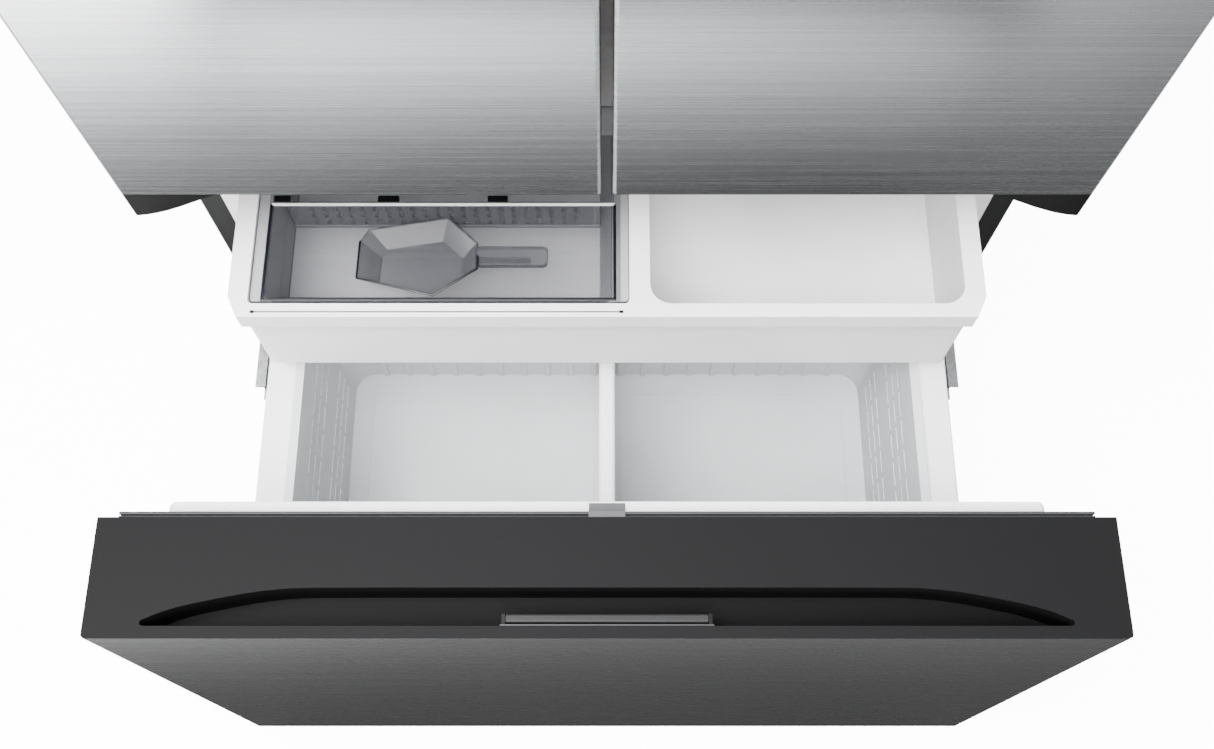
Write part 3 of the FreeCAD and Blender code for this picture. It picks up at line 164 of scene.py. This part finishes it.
cover = add(tree, "ShaderNodeMix", {0: seen, 6: shade.outputs[2], 7: linear(FLOOR_WHITE)},
            data_type="RGBA")
tree.links.new(cover.outputs[2], shader.inputs["Base Color"])
# Glow for mirrored rays, strongest in a band in front. The camera sees an even glow.
band = add(tree, "ShaderNodeMapRange", {"Value": away.outputs["Y"], "From Min": BAND_FROM,
                                        "From Max": BAND_TO, "To Min": NEAR_GLOW, "To Max": DISTANT_GLOW})
bounced = add(tree, "ShaderNodeMath", {0: lit.outputs["Value"], 1: band.outputs["Result"]},
              operation="MULTIPLY")
glow = add(tree, "ShaderNodeMix", {0: seen, 2: bounced.outputs["Value"], 3: SEEN_GLOW},
           data_type="FLOAT")
tree.links.new(glow.outputs[0], shader.inputs["Emission Strength"])
bm = bmesh.new()
bmesh.ops.create_grid(bm, x_segments=2, y_segments=2, size=FLOOR_HALF)
floor = link_object("studio_floor", bm, paint)

# Studio light: a soft surround, a broad softbox overhead in front of the doors, one at each
# side, the left one a little stronger, and two behind for the back and the right side.
world = bpy.data.worlds.new("studio")
world.use_nodes = True
surround = world.node_tree.nodes["Background"]
surround.inputs["Color"].default_value = linear("#ffffff")
surround.inputs["Strength"].default_value = 0.5
bpy.context.scene.world = world


def softbox(name, place, target, size, power):
    """A rectangular area light in watts, turned to its target."""
    data = bpy.data.lights.new(name, "AREA")
    data.shape = "RECTANGLE"
    data.size, data.size_y = size
    data.energy = power
    lamp = bpy.data.objects.new(name, data)
    lamp.location = place
    lamp.rotation_euler = (Vector(target) - Vector(place)).to_track_quat("-Z", "Y").to_euler()
    bpy.context.scene.collection.objects.link(lamp)


softbox("overhead_softbox", (-0.7, -1.2, 3.4), (-0.1, -0.5, 0.5), (2.8, 1.4), 400)
softbox("left_softbox", (-2.6, -1.6, 1.9), (0, -0.3, 0.7), (1.6, 2.0), 95)
softbox("right_softbox", (2.6, -1.6, 1.9), (0, -0.3, 0.7), (1.6, 2.0), 45)
softbox("right_rear_softbox", (3.0, 1.2, 1.9), (0.5, 0.3, 0.9), (1.4, 1.8), 60)
softbox("rear_softbox", (-0.6, 3.2, 2.4), (0, 0.6, 0.9), (2.6, 1.8), 90)


# Door and drawer faces: folded stainless sheet, brushed along the width, so the grain runs
# level. Along the upright folds there is a painted highlight: the steel is made less metallic there, so
# its colour shows as a pale line.
def object_point(tree, scale=(1.0, 1.0, 1.0)):
    """The point on the piece that a pattern is drawn at, stretched by scale."""
    coordinates = add(tree, "ShaderNodeTexCoord")
    return add(tree, "ShaderNodeMapping", {"Vector": coordinates.outputs["Object"], "Scale": scale})


def varied(tree, shader, factor, low, high):
    """Lets a 0 to 1 pattern carry the shader's colour between two hex colours."""
    ramp = add(tree, "ShaderNodeValToRGB", {"Fac": factor})
    ramp.color_ramp.elements[0].color = linear(low)
    ramp.color_ramp.elements[1].color = linear(high)
    ramp.color_ramp.elements[0].position = 0.3
    ramp.color_ramp.elements[1].position = 0.7
    tree.links.new(ramp.outputs["Color"], shader.inputs["Base Color"])


def rippled(tree, shader, height, distance, edge_mm=0.0):
    """Surface relief, over sharp edges that the tool or the fold has eased by edge_mm."""
    bump = add(tree, "ShaderNodeBump", {"Height": height, "Distance": distance, "Strength": 0.5})
    if edge_mm:
        edge = add(tree, "ShaderNodeBevel", {"Radius": edge_mm * MM}, samples=4)
        tree.links.new(edge.outputs["Normal"], bump.inputs["Normal"])
    tree.links.new(bump.outputs["Normal"], shader.inputs["Normal"])


def toned(tree, shader, factor, low, high):
    """Lets a 0 to 1 pattern carry the shader's roughness from low to high."""
    spread = add(tree, "ShaderNodeMapRange", {"Value": factor, "To Min": low, "To Max": high})
    tree.links.new(spread.outputs["Result"], shader.inputs["Roughness"])


GRAIN_PITCH = 1.2 * MM
GRAIN_DEEP = 0.012 * MM
FOLD_FROM, FOLD_FULL = 0.1, 0.4             # how far a face has to turn sideways to count as fold
SIDE_FROM, SIDE_FULL = 0.9, 0.98            # and as the side beyond it
FOLD_HIGHLIGHT_METALLIC = 0.4


def brushed_stainless(name, dark, light):
    """Grain lines are drawn 1.2 mm apart: the real ones, a tenth of that, would not show."""
    material, tree, shader = new_material(name, Anisotropic=0.6)
    point = object_point(tree, (2.5, 2.5, 1 / GRAIN_PITCH))
    grain = add(tree, "ShaderNodeTexNoise", {"Vector": point.outputs["Vector"], "Scale": 1.0,
                                             "Detail": 4.0, "Roughness": 0.7})
    varied(tree, shader, grain.outputs["Fac"], dark, light)
    toned(tree, shader, grain.outputs["Fac"], 0.22, 0.31)
    rippled(tree, shader, grain.outputs["Fac"], GRAIN_DEEP, 0.7)
    tangent = add(tree, "ShaderNodeTangent", direction_type="RADIAL", axis="Z")
    tree.links.new(tangent.outputs["Tangent"], shader.inputs["Tangent"])
    # Painted highlight along the upright folds: less metallic there, so the colour shows as a pale line.
    facet = add(tree, "ShaderNodeNewGeometry")
    facing = add(tree, "ShaderNodeSeparateXYZ", {"Vector": facet.outputs["Normal"]})
    sideways = add(tree, "ShaderNodeMath", {0: facing.outputs["X"]}, operation="ABSOLUTE")
    turning = add(tree, "ShaderNodeMapRange", {"Value": sideways.outputs["Value"],
                                               "From Min": FOLD_FROM, "From Max": FOLD_FULL})
    turned = add(tree, "ShaderNodeMapRange", {"Value": sideways.outputs["Value"],
                                              "From Min": SIDE_FROM, "From Max": SIDE_FULL,
                                              "To Min": 1.0, "To Max": 0.0})
    fold_highlight_mask = add(tree, "ShaderNodeMath", {0: turning.outputs["Result"], 1: turned.outputs["Result"]},
               operation="MULTIPLY")
    sheen = add(tree, "ShaderNodeMapRange", {"Value": fold_highlight_mask.outputs["Value"], "To Min": 1.0,
                                             "To Max": FOLD_HIGHLIGHT_METALLIC})
    tree.links.new(sheen.outputs["Result"], shader.inputs["Metallic"])
    return material


def finish(material, *names):
    """Gives CAD pieces their material."""
    for name in names:
        mesh = nodes[name].data
        mesh.materials.clear()
        mesh.materials.append(material)


finish(brushed_stainless("brushed_stainless", "#a5a7aa", "#c2c4c7"), "left_door_skin", "right_door_skin")
# The drawer's face is the same steel as the doors, with its colour painted darker as painted shade.
finish(brushed_stainless("brushed_stainless_drawer_painted_shade", "#434446", "#505153"), "drawer_skin")


# Door end caps, lower drawer cap, toe grille, fans, drain pan and lever bracket: ABS from a
# lightly grained tool, so nearly matt.  The caps are pushed into the ends of the skins.
UNEVEN = 0.05                               # how far the grain carries the roughness


def moulded(name, dark, light, roughness, grain_mm, depth_mm, edge_mm=0.7, **sockets):
    """A moulding with faint clouds in its colour and a grained surface, eased at its edges."""
    material, tree, shader = new_material(name, **sockets)
    point = object_point(tree)
    cloud = add(tree, "ShaderNodeTexNoise", {"Vector": point.outputs["Vector"], "Scale": 9.0,
                                             "Detail": 3.0})
    varied(tree, shader, cloud.outputs["Fac"], dark, light)
    grain = add(tree, "ShaderNodeTexNoise", {"Vector": point.outputs["Vector"],
                                             "Scale": 1 / (grain_mm * MM), "Detail": 2.0})
    toned(tree, shader, grain.outputs["Fac"], roughness - UNEVEN, roughness + UNEVEN)
    rippled(tree, shader, grain.outputs["Fac"], depth_mm * MM, edge_mm)
    return material


black_abs = moulded("black_abs", "#030303", "#060607", 0.45, 1.5, 0.03, Specular_IOR_Level=0.15)
finish(black_abs, "left_door_caps", "right_door_caps", "toe_grille", "drawer_bottom_cap",
       "evaporator_fan", "condenser_fan", "drain_pan", "flip_mullion", "lever_bracket")

# Hinge covers: dark grey ABS lids that snap over the top hinges, a shade lighter than the
# door caps and with the same light grain.
dark_abs = moulded("dark_grey_abs", "#1c1c1d", "#1f1f20", 0.5, 1.5, 0.03, Specular_IOR_Level=0.3)
finish(dark_abs, "hinge_covers")

# Levelling feet and rear rollers: black plastic mouldings that carry the weight.  The feet
# screw into the base frame, and the rollers turn on its axles.
finish(black_abs, "levelling_foot_left", "levelling_foot_right", "rear_rollers")

# Drawer top cap with the pull recess: one black ABS moulding, matt, with painted shade
# down in the recess: its colour turns darker there, where little light gets in.
RECESS_DARK_AT, RECESS_PALE_AT = 30 * MM, 1 * MM
cap_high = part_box("drawer_top_cap")[1]
cap_abs, tree, shader = new_material("matt_black_abs", Roughness=0.6, Specular_IOR_Level=0.1)
point = object_point(tree)
height = add(tree, "ShaderNodeSeparateXYZ", {"Vector": point.outputs["Vector"]})
# Painted shade: the colour darkens with depth below the top of the cap.
recess_shade = add(tree, "ShaderNodeMapRange", {"Value": height.outputs["Z"],
                                         "From Min": cap_high.z - RECESS_DARK_AT,
                                         "From Max": cap_high.z - RECESS_PALE_AT})
grain = add(tree, "ShaderNodeTexNoise", {"Vector": point.outputs["Vector"], "Scale": 1 / (1.5 * MM),
                                         "Detail": 2.0})
varied(tree, shader, recess_shade.outputs["Result"], "#030304", "#0e0e0f")
rippled(tree, shader, grain.outputs["Fac"], 0.02 * MM, 0.3)
finish(cap_abs, "drawer_top_cap")

# Cabinet sides and top: one folded steel sheet with a dark grey powder paint, whose fine
# texture breaks up what it mirrors.
powder_paint = moulded("textured_powder_paint", "#0e0e0f", "#131314", 0.5, 1.2, 0.08)
finish(powder_paint, "cabinet_shell")

# Cover of the rail between the two compartments: a painted steel plate, paler than the sides
# and nearly smooth, fixed to the front of the rail.
mullion_paint = moulded("mullion_paint", "#6a6a6c", "#707072", 0.4, 1.2, 0.03)
finish(mullion_paint, "mullion_cover")

# White inner mouldings: liners and covers vacuum-formed from high-impact polystyrene sheet,
# glossy with the faint waviness that the drawn sheet keeps.
white_hips = moulded("white_polystyrene", "#ececed", "#f4f4f4", 0.28, 30.0, 0.3)
finish(white_hips, "fresh_food_liner", "freezer_liner", "left_door_liner", "right_door_liner",
       "drawer_liner", "air_duct_cover", "evaporator_cover")

# Foam: cream rigid polyurethane, blown in between skins and liners, which it bonds together.
# It is only seen if a wall is taken off.
foam = moulded("polyurethane_foam", "#dccfa4", "#e6dbb4", 0.85, 2.5, 0.6)
finish(foam, "insulation", "left_door_core", "right_door_core", "drawer_core")


# Sheet and slides behind the covers: galvanised or zinc-plated steel, bright with a faint
# spangle, screwed to the cabinet.  The hinges are plated too, and darker.
SPANGLE_UNEVEN = 0.06


def plated(name, dark, light, roughness, spangle_mm, metallic=1.0):
    """A metal coating that froze in patches of about spangle_mm."""
    material, tree, shader = new_material(name, Metallic=metallic)
    point = object_point(tree)
    spangle = add(tree, "ShaderNodeTexVoronoi", {"Vector": point.outputs["Vector"],
                                                 "Scale": 1 / (spangle_mm * MM)})
    varied(tree, shader, spangle.outputs["Distance"], dark, light)
    toned(tree, shader, spangle.outputs["Distance"], roughness - SPANGLE_UNEVEN,
          roughness + SPANGLE_UNEVEN)
    return material


galvanised = plated("galvanised_sheet", "#9a9da0", "#b3b6b9", 0.42, 9.0)
zinc = plated("zinc_plated_steel", "#b9bbbd", "#c9cbcd", 0.34, 4.0)
finish(galvanised, "back_panel", "machine_cover", "base_frame", "fan_shroud")
finish(zinc, "slide_rails", "slide_middle", "shelf_ladders")
finish(plated("hinge_plate", "#56575a", "#636467", 0.4, 4.0), "door_hinges")

# Cooling parts: an evaporator with aluminium fins, a black condenser, copper tubes brazed
# between them, and a compressor in black enamel.
finish(plated("aluminium_fins", "#c2c4c6", "#d0d2d4", 0.35, 12.0), "evaporator")
finish(plated("black_condenser", "#1a1a1b", "#242426", 0.45, 12.0, 0.3), "condenser_coil")
finish(plated("copper_tube", "#b4704c", "#c98560", 0.3, 12.0), "refrigerant_tubes")
finish(moulded("black_enamel", "#0d0d0e", "#141415", 0.22, 6.0, 0.05), "compressor")

# Drawer rail covers, upper tray and basket divider: white ABS mouldings.  The covers clip
# over the moving slide members, and the tray and the divider lift out.
white_abs = moulded("white_abs", "#f0f0f0", "#f6f6f6", 0.32, 1.5, 0.02)
finish(white_abs, "slides_inner", "upper_tray", "basket_divider")


# Glass shelves and clear mouldings: seen through from the front, denser where the eye
# meets them at a slant, and darkest along their edges, where light is caught in the wall.
CORNER_FROM, CORNER_FULL = 0.985, 0.88      # cosine between a face and its eased edge


def clear(name, colour, edge_colour, roughness, face_on, aslant, edge_mm):
    """A see-through wall: its density face on and aslant, and its edge colour over edge_mm."""
    material, tree, shader = new_material(name, Roughness=roughness, Coat_Weight=0.4,
                                          Coat_Roughness=0.03)
    point = object_point(tree)
    cloud = add(tree, "ShaderNodeTexNoise", {"Vector": point.outputs["Vector"], "Scale": 14.0,
                                             "Detail": 2.0})
    rippled(tree, shader, cloud.outputs["Fac"], 0.2 * MM)
    rounded = add(tree, "ShaderNodeBevel", {"Radius": edge_mm * MM}, samples=8)
    flat = add(tree, "ShaderNodeNewGeometry")
    turned = add(tree, "ShaderNodeVectorMath", {0: rounded.outputs["Normal"],
                                                1: flat.outputs["True Normal"]}, operation="DOT_PRODUCT")
    edge = add(tree, "ShaderNodeMapRange", {"Value": turned.outputs["Value"],
                                            "From Min": CORNER_FROM, "From Max": CORNER_FULL})
    tint = add(tree, "ShaderNodeMix", {0: edge.outputs["Result"], 6: linear(colour),
                                       7: linear(edge_colour)}, data_type="RGBA")
    tree.links.new(tint.outputs[2], shader.inputs["Base Color"])
    facing = add(tree, "ShaderNodeLayerWeight", {"Blend": 0.45})
    dense = add(tree, "ShaderNodeMapRange", {"Value": facing.outputs["Facing"], "To Min": face_on,
                                             "To Max": aslant})
    solid = add(tree, "ShaderNodeMath", {0: dense.outputs["Result"], 1: edge.outputs["Result"]},
                operation="MAXIMUM")
    tree.links.new(solid.outputs["Value"], shader.inputs["Alpha"])
    return material


finish(clear("tempered_glass", "#cfe3dc", "#7fa396", 0.05, 0.16, 0.7, 1.0), "glass_shelves")
finish(clear("clear_styrene", "#dfe3e6", "#aab2b8", 0.08, 0.2, 0.75, 1.2), "crisper_left",
       "crisper_right", "left_door_bins", "right_door_bins")
finish(clear("smoky_styrene", "#5c5d64", "#101016", 0.08, 0.2, 0.9, 2.4), "ice_bin")
finish(clear("smoky_styrene_scoop", "#4a4b50", "#101016", 0.06, 0.4, 0.95, 1.6), "ice_scoop")

# Shelf frames and ice maker: pale grey ABS.  The frames carry the glass on their arms, and the
# ice maker hangs under the freezer's ceiling.
light_trim = moulded("pale_grey_abs", "#c6c8ca", "#cfd1d3", 0.35, 1.5, 0.02)
finish(light_trim, "shelf_frames", "ice_maker")

# Divider clip and release lever: grey and near-black ABS mouldings.  The clip sits over the
# middle of the drawer's gasket, and the lever turns between the ears of its bracket.
finish(moulded("mid_grey_abs", "#3a3a3c", "#404042", 0.4, 1.5, 0.02), "divider_clip")
finish(moulded("lever_grey_abs", "#151516", "#19191a", 0.5, 1.5, 0.02, 0.3,
               Specular_IOR_Level=0.25), "release_lever")


# Strip on the lever's bracket: a dark grey strip, paler than the bracket, drawn along
# the top edge of its plate.
def eased(bm, edges, width):
    """Rounds edges over width in two steps."""
    bmesh.ops.bevel(bm, geom=list(edges), offset=width, segments=2, profile=0.5, affect="EDGES",
                    material=-1)


STRIP_BACK, STRIP_WIDE, STRIP_THICK = 1.0 * MM, 1.2 * MM, 1.0 * MM
bracket_low, bracket_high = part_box("lever_bracket")
bm = bmesh.new()
place = Matrix.Translation((0, bracket_low.y + STRIP_BACK, bracket_high.z))
size = Matrix.Diagonal((bracket_high.x - bracket_low.x, STRIP_WIDE, STRIP_THICK, 1))
bmesh.ops.create_cube(bm, size=1.0, matrix=place @ size)
eased(bm, bm.edges, 0.2 * MM)
strip_abs = moulded("strip_grey_abs", "#2c2c2d", "#303031", 0.4, 1.5, 0.02, 0.1)
strip = link_object("bracket_top_strip", bm, strip_abs)
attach(strip, body_of(nodes["lever_bracket"])[0])


# Door and drawer gaskets: soft PVC extruded with two folds round a magnet, welded at the
# corners and pushed into a groove behind each front.
def folded_frame(low, high, folds):
    """A rectangular frame whose section runs through the folds: inset in mm and share of depth."""
    middle = (low + high) / 2
    half = (high - low) / 2
    bm = bmesh.new()
    points = [bm.verts.new((middle.x + x * half.x, low.y, middle.z + z * half.z))
              for x, z in ((-1, -1), (1, -1), (1, 1), (-1, 1))]
    edges = [bm.edges.new((points[i - 1], points[i])) for i in range(4)]
    for number, (inset, share) in enumerate(folds + folds[:1]):
        if number:
            grown = bmesh.ops.extrude_edge_only(bm, edges=edges)["geom"]
            points = [part for part in grown if isinstance(part, bmesh.types.BMVert)]
            edges = [part for part in grown if isinstance(part, bmesh.types.BMEdge) and part.is_boundary]
        for point in points:
            point.co.x = middle.x + math.copysign(half.x - inset * MM, point.co.x - middle.x)
            point.co.y = low.y + share * (high.y - low.y)
            point.co.z = middle.z + math.copysign(half.z - inset * MM, point.co.z - middle.z)
    bmesh.ops.remove_doubles(bm, verts=bm.verts, dist=0.01 * MM)
    bmesh.ops.recalc_face_normals(bm, faces=bm.faces)
    return bm


SEAL_WIDE = 14.0
SEAL_FOLDS = [(3.5, 0.0), (3.5, 0.14), (0.3, 0.18), (0.0, 0.28), (0.3, 0.36), (4.5, 0.4), (4.5, 0.56),
              (0.3, 0.6), (0.0, 0.78), (0.3, 0.96), (SEAL_WIDE, 0.96), (SEAL_WIDE, 0.0)]
seal_pvc = moulded("gasket_pvc", "#2e2e30", "#343436", 0.5, 1.5, 0.03, 0.1, Specular_IOR_Level=0.2)
for side in ("drawer", "left_door", "right_door"):
    node = side + "_gasket"
    seal = link_object(side + "_folded_gasket", folded_frame(*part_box(node), SEAL_FOLDS), seal_pvc)
    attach(seal, body_of(nodes[node])[0])
    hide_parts(node)


# Tray front: a dark grey strip drawn along the groove in the rim as painted shade, with a small black
# ABS catch at each end of it.
def bar(bm, x0, x1, y0, y1, z0, z1, ease=0.0):
    """Adds a box with eased edges."""
    middle = Vector(((x0 + x1) / 2, (y0 + y1) / 2, (z0 + z1) / 2))
    size = Matrix.Diagonal((x1 - x0, y1 - y0, z1 - z0, 1))
    made = bmesh.ops.create_cube(bm, size=1.0, matrix=Matrix.Translation(middle) @ size)
    if ease:
        eased(bm, dict.fromkeys(edge for vert in made["verts"] for edge in vert.link_edges), ease)
    return made["verts"]


GROOVE_FROM, GROOVE_TO = -356 * MM, 12.6 * MM
GROOVE_BACK, GROOVE_HALF = 5.6 * MM, 0.75 * MM
GROOVE_STRIP_PROUD, CATCH_PROUD = 0.15 * MM, 0.8 * MM
CATCH_LONG_HALF, CATCH_WIDE_HALF = 2 * MM, 1.5 * MM
SUNK = 0.5 * MM
tray_low, tray_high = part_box("upper_tray")
groove_at = tray_low.y + GROOVE_BACK
bm = bmesh.new()
# Painted shade: a thin dark strip standing for the shade in the groove.
bar(bm, GROOVE_FROM, GROOVE_TO, groove_at - GROOVE_HALF, groove_at + GROOVE_HALF, tray_high.z - SUNK,
    tray_high.z + GROOVE_STRIP_PROUD, 0.1 * MM)
groove_shade_abs = moulded("groove_shade_grey", "#3c3c41", "#424247", 0.5, 1.5, 0.02, 0.1)
groove_shade = link_object("tray_front_groove_shade", bm, groove_shade_abs)
bm = bmesh.new()
for x in (GROOVE_FROM - CATCH_LONG_HALF, GROOVE_TO + CATCH_LONG_HALF):
    bar(bm, x - CATCH_LONG_HALF, x + CATCH_LONG_HALF, groove_at - CATCH_WIDE_HALF,
        groove_at + CATCH_WIDE_HALF, tray_high.z - SUNK, tray_high.z + CATCH_PROUD, 0.3 * MM)
catches = link_object("tray_catches", bm, black_abs)

# Cross wall of the ice bin: three small black clips stand against its back face, under the
# top edge.  They are ABS like the tray's catches, and they are taken to hold the wall.
WALL_BACK = 133 * MM
CLIP_DEEP = 8 * MM
CLIP_FOOT, CLIP_HEAD = 9 * MM, 3.2 * MM
bm = bmesh.new()
for x0, x1 in ((-349, -332), (-240, -218), (-125, -104)):
    bar(bm, x0 * MM, x1 * MM, tray_low.y + WALL_BACK, tray_low.y + WALL_BACK + CLIP_DEEP,
        tray_high.z - CLIP_FOOT, tray_high.z - CLIP_HEAD, 0.8 * MM)
clips = link_object("bin_wall_clips", bm, black_abs)
for piece in (groove_shade, catches, clips):
    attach(piece, body_of(nodes["upper_tray"])[0])

# Ice bin's rim: the clear wall is seen end on along its inner edge, so it reads as a dark
# line at the front and the sides, and a dark bead is drawn there. Along the cross wall, where it catches
# the light, a pale bead is drawn as a painted highlight.
BEAD_HALF, BEAD_EASE = 1.5 * MM, 0.3 * MM
BIN_LEFT, BIN_RIGHT = -350 * MM, 8 * MM
bin_front, bin_wall = tray_low.y + 21 * MM, tray_low.y + 130 * MM
bead_low, bead_high = tray_high.z - 4 * MM, tray_high.z - 2.4 * MM
bm = bmesh.new()
for x in (BIN_LEFT, BIN_RIGHT):
    bar(bm, x - BEAD_HALF, x + BEAD_HALF, bin_front, bin_wall, bead_low, bead_high, BEAD_EASE)
bar(bm, BIN_LEFT - BEAD_HALF, BIN_RIGHT + BEAD_HALF, bin_front - BEAD_HALF, bin_front + BEAD_HALF,
    bead_low, bead_high, BEAD_EASE)
edge_styrene = moulded("smoky_styrene_edge", "#0c0c10", "#111116", 0.25, 1.5, 0.02, 0.1)
bin_bead = link_object("ice_bin_rim_bead", bm, edge_styrene)
bm = bmesh.new()
# Painted highlight: a pale strip along the top of the cross wall.
bar(bm, BIN_LEFT, BIN_RIGHT, bin_wall - BEAD_HALF, bin_wall + BEAD_HALF, bead_low, bead_high, BEAD_EASE)
wall_highlight_bead = link_object("ice_bin_wall_painted_highlight", bm, white_abs)

# Scoop's rim: smoky styrene like the bin, so the edge of the bowl that is turned to the front
# shows as a dark line too.  It is drawn as a thin round bead along that edge.
SCOOP_EDGE = ((-259, 97), (-260, 54), (-180, 34), (-135, 65), (-135, 80))
SCOOP_BEAD_RADIUS, SCOOP_BEAD_PROUD = 1.3 * MM, 0.6 * MM
scoop_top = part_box("ice_scoop")[1].z
line = bpy.data.curves.new("scoop_edge_line", "CURVE")
line.dimensions = "3D"
line.bevel_depth = SCOOP_BEAD_RADIUS
line.bevel_resolution = 2
line.use_fill_caps = True
run = line.splines.new("POLY")
run.points.add(len(SCOOP_EDGE) - 1)
for point, (x, y) in zip(run.points, SCOOP_EDGE):
    point.co = (x * MM, tray_low.y + y * MM, scoop_top + SCOOP_BEAD_PROUD, 1)
drawn = bpy.data.objects.new("scoop_edge_line", line)
bpy.context.scene.collection.objects.link(drawn)
bpy.context.view_layer.update()
bm = bmesh.new()
bm.from_mesh(bpy.data.meshes.new_from_object(drawn))
bpy.data.objects.remove(drawn)
scoop_bead = link_object("scoop_rim_bead", bm, edge_styrene)
for piece in (bin_bead, wall_highlight_bead, scoop_bead):
    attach(piece, body_of(nodes["ice_bin"])[0])

# Lower basket: pale polypropylene, injection moulded.  Stiffening ribs run up its back wall,
# which leans back, and a raised outline runs round each half of its floor.
RIBS_A_SIDE = 10
RIB_FIRST, RIB_PITCH = 17.5 * MM, 31 * MM
RIB_HALF, RIB_DEEP, RIB_BELOW_RIM = 3.5 * MM, 2.5 * MM, 16 * MM
WALL_THICK, FLOOR_THICK, BASKET_LEAN = 6 * MM, 3 * MM, 8 * MM
LINE_HALF, LINE_PROUD, LINE_EASE = 0.9 * MM, 1.0 * MM, 0.3 * MM
OUTLINE_FROM, OUTLINE_TO, OUTLINE_IN = 16.8 * MM, 312 * MM, 42 * MM
basket_pp = moulded("pale_polypropylene", "#c9cbcd", "#d1d3d5", 0.4, 1.5, 0.03)
finish(basket_pp, "lower_basket")
basket_low, basket_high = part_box("lower_basket")
wall_in = basket_high.y - WALL_THICK
foot = basket_low.z + FLOOR_THICK
bm = bmesh.new()
for side in (-1, 1):
    for number in range(RIBS_A_SIDE):
        x = side * (RIB_FIRST + number * RIB_PITCH)
        for vert in bar(bm, x - RIB_HALF, x + RIB_HALF, wall_in - RIB_DEEP, wall_in, foot,
                        basket_high.z - RIB_BELOW_RIM):
            vert.co.y -= BASKET_LEAN * (basket_high.z - vert.co.z) / (basket_high.z - basket_low.z)
eased(bm, bm.edges, 0.8 * MM)
ribs = link_object("basket_back_ribs", bm, basket_pp)
bm = bmesh.new()
front, back = basket_low.y + OUTLINE_IN, basket_high.y - OUTLINE_IN
for left, right in ((-OUTLINE_TO, -OUTLINE_FROM), (OUTLINE_FROM, OUTLINE_TO)):
    for x in (left, right):
        bar(bm, x - LINE_HALF, x + LINE_HALF, front, back, foot, foot + LINE_PROUD, LINE_EASE)
    for y in (front, back):
        bar(bm, left, right, y - LINE_HALF, y + LINE_HALF, foot, foot + LINE_PROUD, LINE_EASE)
outline = link_object("basket_floor_outline", bm, basket_pp)
for piece in (ribs, outline):
    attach(piece, body_of(nodes["lower_basket"])[0])

# The drawer stands close under the doors, yet their steel doesn't mirror its white insides:
# mirrored rays pass through it and fall on the floor in front.
for node in ("upper_tray", "lower_basket", "basket_divider", "ice_bin", "ice_scoop", "slides_inner",
             "drawer_liner", "drawer_core", "drawer_skin"):
    nodes[node].visible_glossy = False
